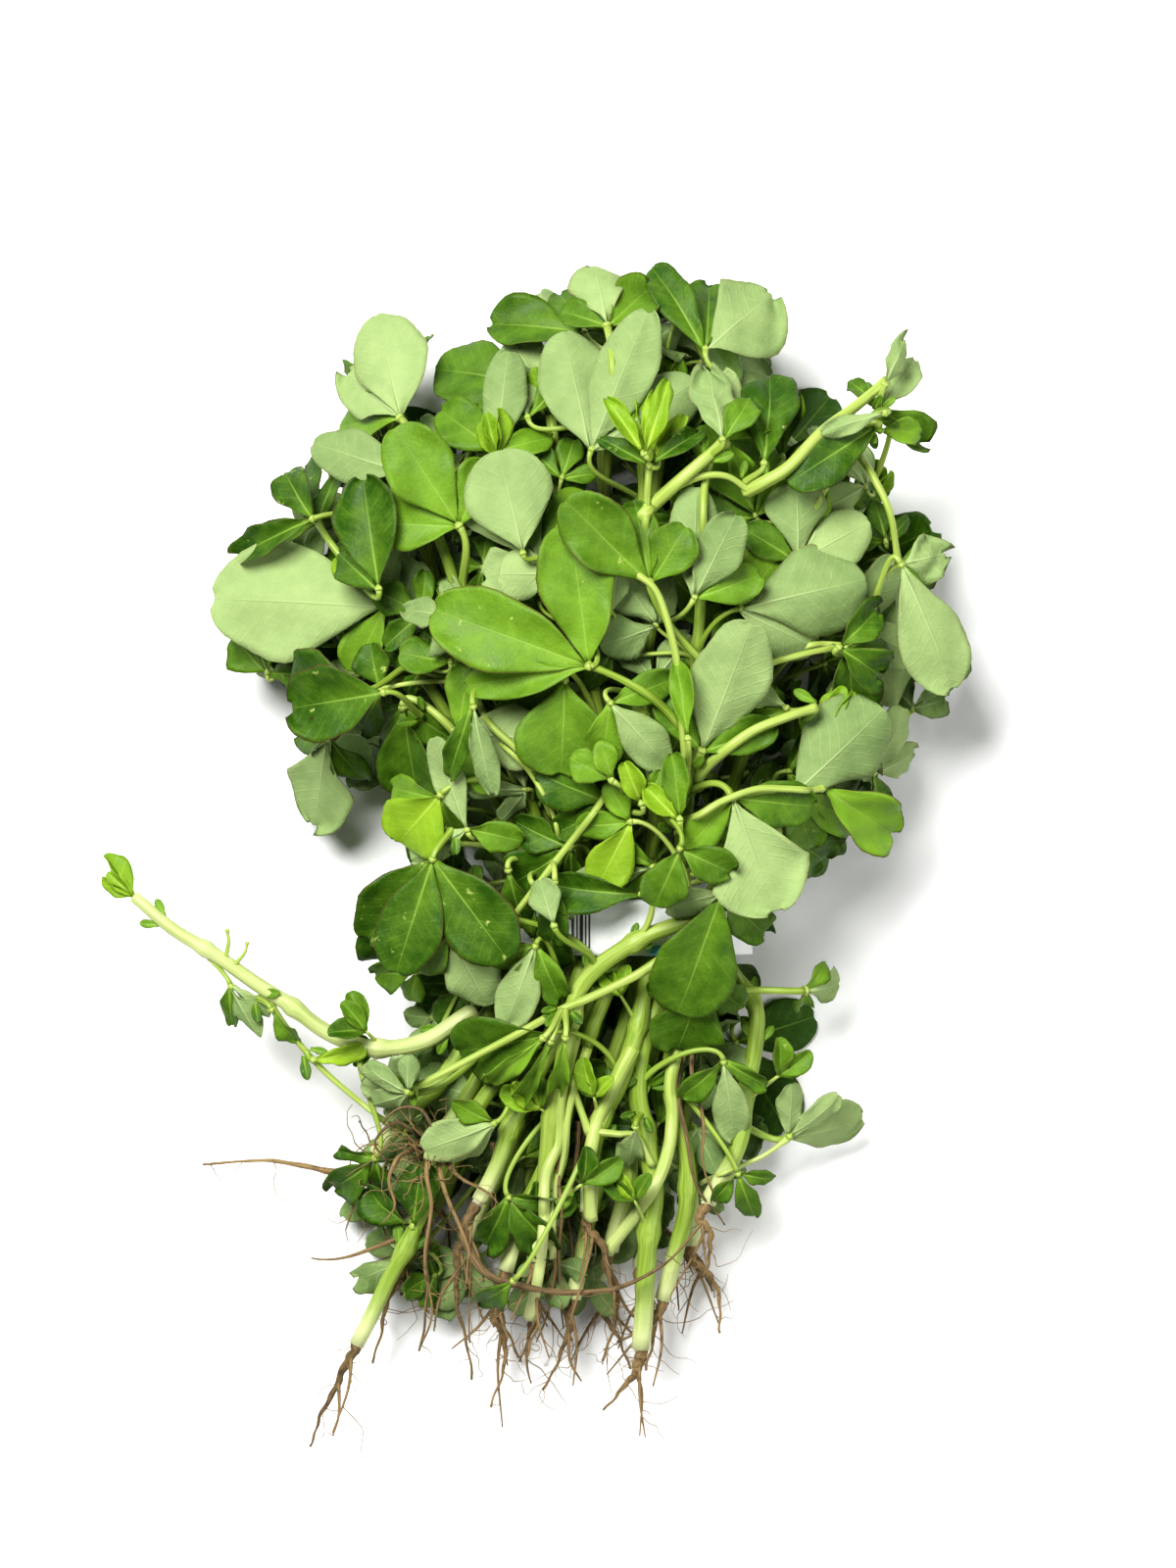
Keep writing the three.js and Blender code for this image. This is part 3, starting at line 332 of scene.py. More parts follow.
BARK, add = new_material("root_bark")
blade, tone, own = stored_at_points(add)
long_way = add("VectorMath", {0: blade, 1: (1 / WRINKLE_LENGTH, 1 / BARK_WRINKLE, 1 / BARK_WRINKLE)},
               **MULTIPLY)
wrinkles = add("TexNoise", {"Vector": long_way, "Scale": 1.0, "Detail": 5.0})
soil = add("TexNoise", {"Vector": own, "Scale": per_metre(SOIL_GRAINS), "Detail": 5.0})
shade = add("Math", {0: wrinkles, 1: 1.5, 2: -0.55}, **MULTIPLY_ADD)
shade = add("Math", {0: shade, 1: tone["X"]}, **CLAMPED_ADD)
brown = add("Mix", {0: shade, 6: linear("#33281a"), 7: linear("#957c52")}, **COLOURS).outputs[2]
dust = add("MapRange", {"Value": soil, "From Min": 0.55, "From Max": 0.7, "To Max": 0.7})
brown = add("Mix", {0: dust, 6: brown, 7: linear("#35281a")}, **COLOURS).outputs[2]
bald = add("Math", {0: soil, 1: -0.5, 2: tone["Y"]}, **MULTIPLY_ADD)
flaked = add("MapRange", {"Value": bald, "From Min": 0.3, "From Max": 0.55, "To Max": 0.9}, **EASED)
bark_colour = add("Mix", {0: flaked, 6: brown, 7: linear("#e4dcc0")}, **COLOURS).outputs[2]
bump = add("Bump", {"Height": wrinkles, "Strength": 0.8, "Distance": 0.0005})
skin = add("BsdfPrincipled", {"Base Color": bark_colour, "Roughness": 0.86, "Normal": bump})
add("OutputMaterial", {"Surface": skin})
print("root finish:", BARK.name, "with wrinkles of", BARK_WRINKLE, "mm")

# %% [markdown]
# ### The band
# The band is coated paper, white and a little glossy, printed in two plain inks: a few thin dark lines
# and two soft teal blocks. "blade" holds the millimetres round the band, from the middle of its top, and
# across it.

# %% Coated paper
FIBRES = 1.11
# Where the print lies, in millimetres: each line's left side and width, and each block's four sides
LINES = ((-16.4, 0.7), (-15.1, 0.4), (-14.2, 0.9), (-12.8, 0.4), (-11.9, 0.5))
BLOCKS = ((4.0, 16.0, -7.4, -4.8), (8.0, 18.0, 5.2, 7.4))


def between(add, value, low, high, soft=0.12):
    """A node that gives 1 where the value lies between two limits in millimetres."""
    rise = add("MapRange", {"Value": value, "From Min": low - soft, "From Max": low + soft})
    fall = add("MapRange", {"Value": value, "From Min": high - soft, "From Max": high + soft,
                            "To Min": 1.0, "To Max": 0.0})
    return add("Math", {0: rise, 1: fall}, **MULTIPLY)


PAPER, add = new_material("coated_paper")
blade = add("Attribute", attribute_name="blade").outputs["Vector"]
place = add("SeparateXYZ", {"Vector": blade}).outputs
own = add("TexCoord").outputs["Object"]
fibre = add("TexNoise", {"Vector": own, "Scale": per_metre(FIBRES), "Detail": 4.0})
paper = add("Mix", {0: fibre, 6: linear("#e4e7e6"), 7: linear("#f6f7f6")}, **COLOURS).outputs[2]
for start, width in LINES:
    bar = between(add, place["X"], start, start + width, 0.05)
    tall = between(add, place["Y"], -5.6, 4.6)
    ink = add("Math", {0: bar, 1: tall}, **MULTIPLY)
    paper = add("Mix", {0: ink, 6: paper, 7: linear("#3a3f3d")}, **COLOURS).outputs[2]
for left, right, low, high in BLOCKS:
    tall = between(add, place["Y"], low, high)
    wide = between(add, place["X"], left, right, 1.2)
    block = add("Math", {0: wide, 1: tall}, **MULTIPLY)
    paper = add("Mix", {0: block, 6: paper, 7: linear("#5fb2bd")}, **COLOURS).outputs[2]
bump = add("Bump", {"Height": fibre, "Strength": 0.2, "Distance": 0.0002})
skin = add("BsdfPrincipled", {"Base Color": paper, "Roughness": 0.38, "Normal": bump})
add("OutputMaterial", {"Surface": skin})
print("band finish:", PAPER.name, "with", len(LINES), "lines and", len(BLOCKS), "blocks")

# %% [markdown]
# ## How the plants are laid out
# These are the same rows as in the model's own source. A plant's row gives its place in the band, its
# leafy tip, its root crown, its radius there, the points of its root, and its bends if it has any.

# %% The plants
PLANTS = [
    ["a1", [-9, 32.5], [-42, 72, 50], [-62, -150, 24], 1.8, [[-70, -166, 20], [-75, -178, 15]]],
    ["a2", [0, 35], [-24, 86, 54], [-29, -111, 32], 1.9,
     [[-33, -119, 33], [-27, -130, 34], [-11, -135, 34], [8, -134, 34], [21, -127, 35], [30, -117, 33]],
     [[-14, -77, 34.5], [-22, -98, 33.5]]],
    ["a3", [8.5, 36], [-4, 60, 62], [-22, -130, 25], 1.8, [[-23, -142, 22], [-19, -154, 18]]],
    ["a4", [17, 36], [14, 92, 58], [0, -114, 30], 2.0, [[3, -122, 28.5], [6, -132, 24], [7, -141, 22]],
     [[9, -76, 35], [2, -98, 34]]],
    ["a5", [25.5, 34.5], [30, 58, 60], [14, -151, 24], 2.2, [[11, -160, 21], [4, -168, 17]],
     [[13, -78, 31.5], [17.5, -112, 29]]],
    ["a6", [33, 30.5], [58, 68, 52], [20, -138, 21], 1.9, [[15, -146, 17], [8, -150, 13]],
     [[21, -76, 29], [27.5, -108, 26.5]]],
    ["a7", [37.5, 23.5], [70, 32, 44], [32, -112, 25], 1.9, [[33, -122, 24], [31, -132, 21]],
     [[45, -64, 26], [42, -90, 26]]],
    ["b1", [-13, 24], [-58, 50, 39], [-57, -99, 20], 1.8,
     [[-68, -104, 20], [-84, -101, 19], [-103, -102, 18]]],
    ["b2", [-4.5, 26], [-34, 42, 42], [-43, -98, 22], 1.9,
     [[-44, -114, 24], [-43, -132, 22], [-45, -152, 17]]],
    ["b3", [4.5, 27], [-10, 98, 44], [-33, -122, 20], 1.8, [[-35, -138, 19], [-31, -160, 14]]],
    ["b4", [13.5, 27.5], [20, 102, 42], [-4, -138, 18], 1.8, [[-6, -150, 15], [-12, -163, 11]]],
    ["b5", [22.5, 26], [50, 92, 40], [6, -125, 21], 1.9, [[8, -139, 18], [4, -155, 14]]],
    ["c1", [-11, 14.5], [-52, 84, 26], [-48, -126, 12], 1.9, [[-54, -140, 10], [-58, -156, 8]]],
    ["c2", [-2.5, 17.5], [-22, 60, 27], [-24, -140, 12], 1.8, [[-22, -152, 10], [-26, -168, 8]]],
    ["c3", [6.5, 18.5], [4, 104, 28], [-9, -119, 12.5], 1.9, [[-10, -134, 9.5], [-4, -150, 8]]],
    ["c4", [15.5, 19], [38, 78, 27], [14, -130, 13], 1.8, [[18, -142, 10], [16, -158, 8]]],
    ["c5", [24.5, 17.5], [74, 76, 24], [28, -124, 12], 1.9, [[34, -134, 9], [36, -148, 7]]],
    ["d1", [-3, 8.5], [-46, 32, 12], [-40, -110, 4.6], 1.8, [[-46, -122, 3.6], [-50, -138, 3]]],
    ["d2", [6, 9], [-12, 82, 12], [-18, -128, 4.4], 1.8, [[-14, -141, 3.6], [-18, -156, 3]]],
    ["d3", [15, 9], [24, 68, 12], [3, -134, 4.4], 1.8, [[6, -146, 3.6], [12, -158, 3]]],
    ["d4", [24, 9.5], [60, 38, 12], [20, -116, 4.6], 1.8, [[28, -126, 3.6], [34, -137, 3]]],
]

# Two shoots that bend out of the fan: name, foot radius, the stem from the tip down, and the root or None
SHOOTS = [
    ["over_band", 1.6,
     [[62, 14, 52], [52, -10, 51], [40, -28, 49], [26, -36, 48], [12, -42, 47.5], [-1, -53, 44],
      [-7, -74, 39.5], [-11, -102, 34], [-14, -127, 28]],
     [[-13, -140, 25], [-16, -153, 22]]],
    ["side_sprig", 1.7,
     [[-121, -30, 31], [-110, -39, 33], [-98, -46, 33], [-86, -55, 32], [-70, -66, 31],
      [-56, -70.5, 30], [-42, -68, 28.5], [-30, -60, 27.5]],
     None],
]
print(len(PLANTS) + len(SHOOTS), "plants")

# %% [markdown]
# A leaf's row starts with the junction of its leaflets, followed by the X and Y where its stalk leaves a
# stem if that shows. Then come its leaflets: azimuth, length, width as a share of the length, pitch, and
# the face seen (1 for the upper, -1 for the underside, 2 for a bright young blade).

# %% The leaves that show from above
LEAVES = [
    [[0, 31, 71, 23, 3], [98, 37, 0.56, 8, 1], [160, 43, 0.5, 3, 1], [178, 32, 0.36, -16, -1]],
    [[16, 53, 72, 28, 0], [136, 31, 0.56, 4, 1], [58, 17, 0.8, 4, 1], [100, 20, 0.5, -12, 1]],
    [[-12, 58, 62], [123, 32, 0.76, 2, -1], [192, 16, 0.95, -6, -1], [60, 24, 0.6, -16, 1]],
    [[40, 46, 64], [13, 35, 0.68, 2, -1], [50, 24, 0.7, -14, 1], [-24, 26, 0.55, -14, -1]],
    [[30, 9, 62, 28, -5], [71, 37, 0.55, 5, -1], [20, 20, 0.5, -10, 1], [128, 18, 0.5, -14, 1]],
    [[54, -3, 57, 26, -16], [42, 33, 0.72, 3, -1], [-25, 28, 0.4, -22, 1], [-62, 20, 0.6, -26, 1]],
    [[38, -4, 52, 26, -16], [-69, 31, 0.88, -8, -1], [-8, 22, 0.6, -22, 1], [-130, 18, 0.6, -24, 1]],
    [[35, -29, 57], [254, 36, 0.66, -9, 1], [312, 20, 0.6, -28, 1], [200, 15, 0.6, -18, -1]],
    [[-54, 47, 42], [177, 46, 0.68, 4, -1], [236, 20, 0.6, -22, 1], [92, 18, 0.5, -18, -1]],
    [[-50, 97, 45, -34, 80], [107, 31, 0.7, 5, -1], [137, 26, 0.6, -14, -1], [166, 27, 0.6, -30, 1]],
    [[-50, 81, 39], [154, 29, 0.5, 0, -1], [196, 20, 0.6, -20, 1], [100, 15, 0.6, -20, 1]],
    [[-72, 70, 34, -62, 72], [190, 22, 0.42, 0, 1], [126, 21, 0.6, -4, 1], [76, 16, 0.5, 6, 1]],
    [[-49, 53, 37], [115, 31, 0.6, 0, 1], [150, 22, 0.5, -24, 1], [60, 26, 0.6, -10, 1]],
    [[-34, 68, 53, -27, 50], [123, 30, 0.6, 2, 1], [66, 18, 0.7, -8, 1], [176, 24, 0.6, -18, 1]],
    [[-24, 88, 58], [85, 27, 0.46, 8, -1], [140, 22, 0.6, -16, 1], [20, 16, 0.5, -14, 1]],
    [[-16, 97, 52], [50, 27, 0.42, 5, 1], [104, 18, 0.6, -8, -1], [160, 15, 0.7, -10, 1]],
    [[1, 88, 62], [68, 39, 0.42, 5, -1], [36, 34, 0.5, -9, -1], [102, 34, 0.55, -9, -1]],
    [[-13, 105, 50], [160, 30, 0.7, 0, 1], [118, 17, 0.8, 8, -1], [212, 16, 0.6, -14, 1]],
    [[-1, 120, 40], [165, 26, 0.6, 0, 1], [112, 18, 0.6, -12, 1], [60, 16, 0.6, -18, 1]],
    [[5, 121, 54, 14, 84], [100, 18, 0.95, 0, -1], [52, 18, 0.8, -14, 1], [150, 14, 0.6, -18, 1]],
    [[31, 115, 50], [45, 26, 0.9, 4, -1], [116, 28, 0.38, 8, 1], [82, 24, 0.6, -12, 1]],
    [[16, 84, 71, 14, 72], [116, 22, 0.32, 26, 2], [86, 25, 0.36, 34, 2], [56, 21, 0.34, 26, 2]],
    [[36, 90, 66, 14, 72], [92, 18, 0.66, 20, -1], [42, 16, 0.75, -4, 1], [-60, 13, 0.5, -20, 1]],
    [[77, 99, 54, 41, 77], [52, 18, 0.45, 12, -1], [-28, 16, 0.6, -10, 1], [128, 12, 0.5, -10, 1]],
    [[76, 96, 48], [214, 30, 0.5, -8, 1]],
    [[55, 59, 57], [92, 20, 0.85, 4, -1], [28, 22, 0.7, -12, -1], [150, 16, 0.6, -14, 1]],
    [[28, 49, 63], [64, 24, 0.55, 8, -1], [88, 29, 0.46, -10, -1], [20, 18, 0.6, -16, 1]],
    [[81, 56, 45, 70, 82], [-75, 38, 0.48, -6, -1], [-50, 32, 0.5, -22, -1], [12, 14, 0.8, 8, 1]],
    [[68, 36, 52, 45, 30], [-72, 18, 0.8, -8, 1], [-12, 15, 0.6, 4, 1], [46, 16, 0.6, -10, -1]],
    [[76, 3, 35], [62, 19, 0.6, 8, -1], [6, 18, 0.5, -14, -1], [-60, 16, 0.5, -20, 1]],
    [[52, -18, 31], [30, 18, 0.8, 0, 1], [-22, 19, 0.72, -4, 1], [-80, 15, 0.6, -8, 1]],
    [[-6, 27, 60], [-95, 26, 0.92, -7, 1], [-150, 20, 0.7, -14, 1], [-50, 18, 0.6, -16, -1]],
    [[6, 21, 59], [-48, 23, 0.5, -4, -1], [-96, 18, 0.6, -22, 1], [20, 18, 0.5, -14, 1]],
    [[-34, 14, 51], [-4, 26, 0.66, 0, -1], [-60, 17, 0.6, -18, 1], [80, 18, 0.6, -10, 1]],
    [[6, -5, 48], [156, 21, 0.66, 0, 1], [210, 17, 0.6, -16, 1], [100, 18, 0.6, -14, 1]],
    [[-32, -12, 50], [106, 26, 0.34, 8, -1], [213, 19, 0.5, -4, -1], [-16, 15, 0.6, -12, 1]],
    [[-49, 20, 43, -34, 16], [-92, 25, 0.75, -16, 1], [-140, 18, 0.6, -24, 1], [-40, 17, 0.6, -20, 1]],
    [[-55, 25, 42], [195, 25, 0.75, -8, 1], [100, 12, 0.8, 8, 1], [230, 15, 0.75, -22, 1]],
    [[-69, 12, 31], [240, 29, 0.74, -10, -1], [190, 18, 0.6, -16, 1], [290, 16, 0.6, -18, 1]],
    [[-40, -4, 45], [232, 18, 0.85, -14, 2], [180, 16, 0.6, -22, 1], [285, 16, 0.6, -18, 1]],
    [[-41, -21, 43], [258, 31, 0.58, -12, 1], [300, 31, 0.62, -5, 1], [236, 30, 0.5, -26, 1]],
    [[11, -10, 57], [244, 19, 0.68, -8, 2], [186, 14, 0.6, -10, 1], [120, 12, 0.6, 8, 1]],
    [[24, -17, 56], [249, 17, 0.7, -5, 1], [333, 15, 0.72, 0, 1]],
    [[20, -7, 59], [100, 17, 0.42, 24, -1], [138, 18, 0.5, 14, 2], [60, 14, 0.5, 24, 2]],
    [[31, -51, 44], [257, 24, 0.85, -12, 1], [205, 16, 0.6, -12, 1], [310, 16, 0.6, -12, 1]],
    [[-36, -40, 38], [-72, 24, 0.62, -8, -1], [-20, 15, 0.5, -16, 1], [-130, 18, 0.6, -18, 1]],
    [[-14, -43, 49], [251, 23, 0.5, -8, -1], [288, 17, 0.5, -12, 1], [206, 14, 0.6, -16, 1]],
    [[-5, -17, 40], [218, 19, 0.9, -5, 1], [270, 16, 0.5, -10, 1], [160, 16, 0.6, -8, 1]],
    [[-13, -23, 44], [262, 21, 0.62, -6, 1], [212, 15, 0.5, -10, 1]],
    [[17, -22, 51], [196, 24, 0.34, 0, -1], [150, 14, 0.5, -4, 1], [240, 12, 0.5, -16, 1]],
    [[-25, -90, 40], [205, 20, 0.66, -4, -1], [228, 19, 0.42, -20, -1], [150, 12, 0.6, -10, 1]],
    [[-10, -66, 40], [203, 28, 0.74, -6, 1]],
    [[-46, -82, 41, -3, -54], [100, 14, 0.6, 6, -1], [172, 14, 0.6, -6, -1], [236, 12, 0.6, -14, -1]],
    [[54, -94, 22, 34, -100], [95, 17, 0.46, 8, -1], [56, 18, 0.4, 18, -1], [-5, 22, 0.76, -4, -1]],
    [[58, -55, 31, 46, -62], [-18, 13, 0.85, 0, -1], [40, 9, 0.6, 6, 1], [-80, 9, 0.6, 0, 1]],
    [[40, -104, 19], [-72, 15, 0.46, -8, 1], [-20, 10, 0.5, -4, 1], [-120, 10, 0.5, -8, 1]],
    [[36, -74, 27], [-80, 24, 0.4, -6, -1], [-40, 14, 0.4, -14, 1], [-130, 15, 0.5, -12, 1]],
    [[12, -91, 27], [-85, 19, 0.5, 0, -1], [-40, 12, 0.5, -8, 1], [-130, 14, 0.5, -8, 1]],
    [[-21, -110, 24], [-58, 18, 0.7, 0, 1], [-110, 17, 0.6, -4, 1], [-10, 12, 0.6, -6, 1]],
    [[-46, -50, 31], [200, 12, 0.9, 0, 1], [140, 11, 0.8, 0, 1], [250, 12, 0.6, -8, 1]],
    [[-95, -54, 33], [-66, 15, 0.42, -8, -1], [-50, 13, 0.4, -22, -1], [-100, 12, 0.5, -14, 1]],
    [[-57, -100, 27], [228, 18, 0.5, -10, 1], [180, 10, 0.5, -8, 1], [270, 12, 0.5, -10, 1]],
    [[-42, -112, 25], [240, 17, 0.6, -5, 1], [190, 12, 0.6, -8, 1]],
    [[-50, -128, 18], [215, 15, 0.6, -5, 1], [265, 12, 0.6, -8, 1]],
    [[-20, -132, 27], [232, 16, 0.5, -4, 1], [285, 12, 0.5, -8, 1]],
    [[-4, -122, 24], [-60, 13, 0.6, -5, 1], [-115, 11, 0.5, -8, 1]],
    [[-13, -70, 43], [250, 18, 0.4, -10, 2], [222, 22, 0.36, -6, 2]],
]

# Leaves pressed flat under the bunch: junction x and y, and the middle leaflet's azimuth
PRESSED = [
    [-58, 30, 170], [-36, 78, 125], [6, 96, 80], [48, 84, 50], [68, 34, 5], [10, 30, 250],
    [-34, -30, 200], [40, -70, -60], [-30, -96, 215],
]
print(len(LEAVES), "leaves that show and", len(PRESSED), "pressed ones")

# %% [markdown]
# Stems are smooth curves through a few points, as in the source. The numbers between rows come from a
# small seeded stream, so each run grows the same bunch.

# %% Curves and seeded numbers
# Where the streams of each kind of thing start. The first four are the source's own.
SEEDS = {"pressed": 600, "filler": 300, "side_roots": 100, "over_band_roots": 140, "stem": 900, "shade": 40,
         "shoots": 1200, "leaf": 2000, "root": 3000, "given_back": 4000, "given_back_look": 4100,
         "on_top": 7000, "on_top_look": 7100, "long_roots": 8000}


def draws(seed):
    """A small seeded stream of numbers from 0 to 1."""
    state = (seed * 2654435761) % 2 ** 32
    while True:
        state = (state * 1664525 + 1013904223) % 2 ** 32
        yield state / 2 ** 32


def unit(v):
    """A vector's direction, with a length of one."""
    return v / np.linalg.norm(v)


def smooth(points, steps):
    """Points along a smooth curve that passes through the given ones."""
    inner = np.array(points, float)
    whole = np.vstack([2 * inner[0] - inner[1], inner, 2 * inner[-1] - inner[-2]])
    place = np.linspace(0, len(inner) - 1, steps + 1)
    first = np.minimum(place.astype(int), len(inner) - 2)
    w = (place - first)[:, None]
    a, b, c, d = (whole[first + k] for k in range(4))
    leave, arrive = (c - a) / 2, (d - b) / 2
    return ((2 * w ** 3 - 3 * w ** 2 + 1) * b + (w ** 3 - 2 * w ** 2 + w) * leave
            + (3 * w ** 2 - 2 * w ** 3) * c + (w ** 3 - w ** 2) * arrive)


NECK_HALF = 9.0
STEM_STEPS = 10
# Where a stem's two bends lie between the band and its ends, as shares of the way along X, Y and Z
UPPER_BEND = (0.42, 0.48, 0.66)
LOWER_BEND = (0.52, 0.5, 0.55)


def stem_route(hold, tip, crown, bends=None):
    """A stem's points from its leafy tip, through the band, down to its root crown."""
    x, z = hold
    above = np.array([x, BAND_MIDDLE[1] + NECK_HALF, z])
    below = np.array([x, BAND_MIDDLE[1] - NECK_HALF, z])
    spread = above + (np.array(tip) - above) * UPPER_BEND
    lower = below + (np.array(crown) - below) * LOWER_BEND
    return [tip, spread, above, below - [0.5, 0.0, 0.3], *(bends or [lower]), crown]


ROUTES = {}
for name, hold, tip, crown, radius, root, *bends in PLANTS:
    ROUTES[name] = (stem_route(hold, tip, crown, *bends), radius, root)
for name, radius, route, root in SHOOTS:
    ROUTES[name] = (route, radius, root)
PATHS = {name: smooth(route, STEM_STEPS) for name, (route, _, _) in ROUTES.items()}
lengths = [float(np.linalg.norm(np.diff(path, axis=0), axis=1).sum()) for path in PATHS.values()]
print("the stems are", round(min(lengths)), "to", round(max(lengths)), "mm long")

# %% [markdown]
# ## The shape of a leaf
# Three leaflets meet at a small joint at the end of a stalk. A leaflet starts as a wedge, is widest
# beyond its middle and ends broad and blunt. It bends down towards the tip, folds a little along its
# midrib and ripples towards its rim. The leaves lie round a dome, the leafy head. The source holds each
# leaflet as a few flat faces with these very numbers, so the same sums put the fine leaflet in the same
# place.

# %% The leafy head and directions in it
HEAD = {"x": 4.0, "y": 42.0, "z": 30.0, "a": 92.0, "b": 90.0, "c": 48.0, "underside": 22.0}
UP = np.array([0.0, 0.0, 1.0])


def dome_normal(p, share):
    """The outward direction of the head's dome, mixed with straight up, or straight down below."""
    out = np.array([(p[0] - HEAD["x"]) / HEAD["a"] ** 2, (p[1] - HEAD["y"]) / HEAD["b"] ** 2,
                    (p[2] - HEAD["z"]) / HEAD["c"] ** 2])
    side = -1 if p[2] < HEAD["underside"] else 1
    return unit(unit(out) * share + UP * side * (1 - share))


def direction(azimuth, normal, pitch):
    """The direction at an azimuth in the plane across a normal, pitched up from that plane."""
    turn = math.radians(azimuth)
    along = np.array([math.cos(turn), math.sin(turn), 0.0])
    along = unit(along - normal * along.dot(normal))
    return along * math.cos(math.radians(pitch)) + normal * math.sin(math.radians(pitch))


print("a leaf at the head's left side faces", dome_normal((HEAD["x"] - HEAD["a"], 42, 30), 0.7).round(2))

# %% [markdown]
# What each leaflet has of its own comes from a seeded stream: how far it bends and folds, how its rim
# rolls and ruffles. A wilted one is crumpled as well, by a share from 0 to 1.

# %% A leaf's numbers
HUB_HALF = 0.7
WIDEST_ROOM = 62.0


def ruffle_up(leaflet, relief, crumple):
    """Adds what only the fine leaflet has: a notch, a rolled rim, ruffles, and crumpling from 0 to 1."""
    own = draws(int(leaflet["phase"] * 1e6))
    cup = -1 if leaflet["face"] == -1 else 1
    roll = next(own) ** 2 * (1 if next(own) < 0.6 else -1)
    leaflet["cup"] = cup
    leaflet["notch"] = 0.03 * next(own)
    leaflet["curl"] = relief * 0.32 * roll + 0.5 * crumple * (1 if next(own) < 0.6 else -1)
    leaflet["ruffle"] = relief * leaflet["length"] * (0.008 + 0.026 * next(own) + 0.03 * crumple)
    leaflet["skew"] = relief * 1.4 * (next(own) - 0.5) * (0.5 + crumple)
    leaflet["crease"] = 0.13 * crumple
    leaflet["ragged"] = 1 + 2 * crumple
    leaflet["fold"] += cup * 0.55 * crumple
    leaflet["bend"] += 0.6 * crumple


def leaf_of(junction, normal, rows, tilt, random, relief):
    """A leaf's joint and leaflets: the middle one in front, the others at its sides."""
    junction = np.array(junction, float)
    front = sorted(rows, key=lambda r: -r[0])[1] if len(rows) == 3 else rows[0]
    along = direction(front[0], normal, tilt)
    across = unit(np.cross(along, normal))

    def side_of(row):
        return 0 if row is front else -1 if row[0] > front[0] else 1

    def room(row, side):
        beside = [other for other in rows if other is not row and side_of(other) == side]
        return min(abs(beside[0][0] - row[0]) / 2 - 2, WIDEST_ROOM) if beside else WIDEST_ROOM

    leaflets = []
    for row in rows:
        azimuth, length, share, pitch, face = row[:5]
        side = side_of(row)
        way = direction(azimuth, normal, pitch + tilt)
        wide = unit(np.cross(way, normal))
        cup = -1 if face == -1 else 1
        leaflets.append({
            "face": face, "length": length, "along": way, "across": wide, "normal": unit(np.cross(wide, way)),
            "base": junction + (across * side if side else along) * HUB_HALF,
            "half_width": length * share / 2,
            "room_left": room(row, -1) if side == 0 else room(row, 0) if side == 1 else WIDEST_ROOM,
            "room_right": room(row, 1) if side == 0 else room(row, 0) if side == -1 else WIDEST_ROOM,
            "bend": 1e-4 + relief * math.radians(8 + 20 * next(random)),
            "fold": relief * cup * (0.08 + 0.2 * next(random)) * (1.8 if share < 0.5 else 1),
            "wave": relief * (0.5 + next(random)),
            "phase": 2 * next(random),
        })
        ruffle_up(leaflets[-1], relief, row[5] if len(row) > 5 else 0.0)
    return {"junction": junction, "along": along, "leaflets": leaflets}


def tip_of(leaflet):
    """The middle of a leaflet's tip, and the normal there."""
    bend, length = leaflet["bend"], leaflet["length"]
    forward = math.sin(bend) / bend * length
    down = (1 - math.cos(bend)) / bend * length
    normal = leaflet["along"] * math.sin(bend) + leaflet["normal"] * math.cos(bend)
    return leaflet["base"] + leaflet["along"] * forward - leaflet["normal"] * down, normal


trial = leaf_of([0, 0, 0], UP, [[0, 30, 0.6, 0, 1]], 0, draws(1), 1)
print("a leaflet of 30 mm ends at", tip_of(trial["leaflets"][0])[0].round(1))

# %% [markdown]
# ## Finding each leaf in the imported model
# In the source a leaf that would have touched another was lifted, tilted, or given fewer leaflets. Which
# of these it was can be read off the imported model: the tips of the right choice are corners of a plant.

# %% Where each leaf ended up
BLADE_HALF = 0.4
SAME_PLACE = 0.06  # how near a tip and a corner lie when they are the same point
LIFTS = (0, 2, -2, 4, -4, 6.5, -6.5, 9, -9, 12, -12)
TILTS = (0, 9, -9, 18, -18)
corner_list = []
corner_owner = []
for name in ROUTES:
    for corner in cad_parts["stem_" + name].data.vertices:
        corner_list.append(np.array(corner.co) / MM - SHIFT)
        corner_owner.append(name)
corners = KDTree(len(corner_list))
for index, corner in enumerate(corner_list):
    corners.insert(corner, index)
corners.balance()


def owner_of(leaf):
    """The plant that has a leaf's tips among its corners, or None."""
    owners = set()
    for leaflet in leaf["leaflets"]:
        tip, normal = tip_of(leaflet)
        _, index, gap = corners.find(tip + normal * BLADE_HALF)
        if gap > SAME_PLACE:
            return None
        owners.add(corner_owner[index])
    return owners.pop() if len(owners) == 1 else None


def find_leaf(seed, junction, rows, fewest, share, lifts=LIFTS, tilts=TILTS):
    """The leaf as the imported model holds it, with its plant, or None if it was left out."""
    flat = share is None
    for count in range(len(rows), fewest - 1, -1):
        for lift in lifts:
            for tilt in tilts:
                end = np.array([junction[0], junction[1], junction[2] + lift], float)
                normal = UP if flat else dome_normal(end, share)
                leaf = leaf_of(end, normal, rows[:count], tilt, draws(seed), 0 if flat else 1)
                plant = owner_of(leaf)
                if plant:
                    return {"leaf": leaf, "plant": plant, "normal": normal, "tilt": tilt,
                            "rows": rows[:count], "missing": rows[count:]}
    return None


print("corners of the packed plants:", len(corner_list))

# %% [markdown]
# The source also fills the sides and the back of the head with leaves spread by the golden angle, and
# presses a few flat underneath. All of them are looked up in the same way.

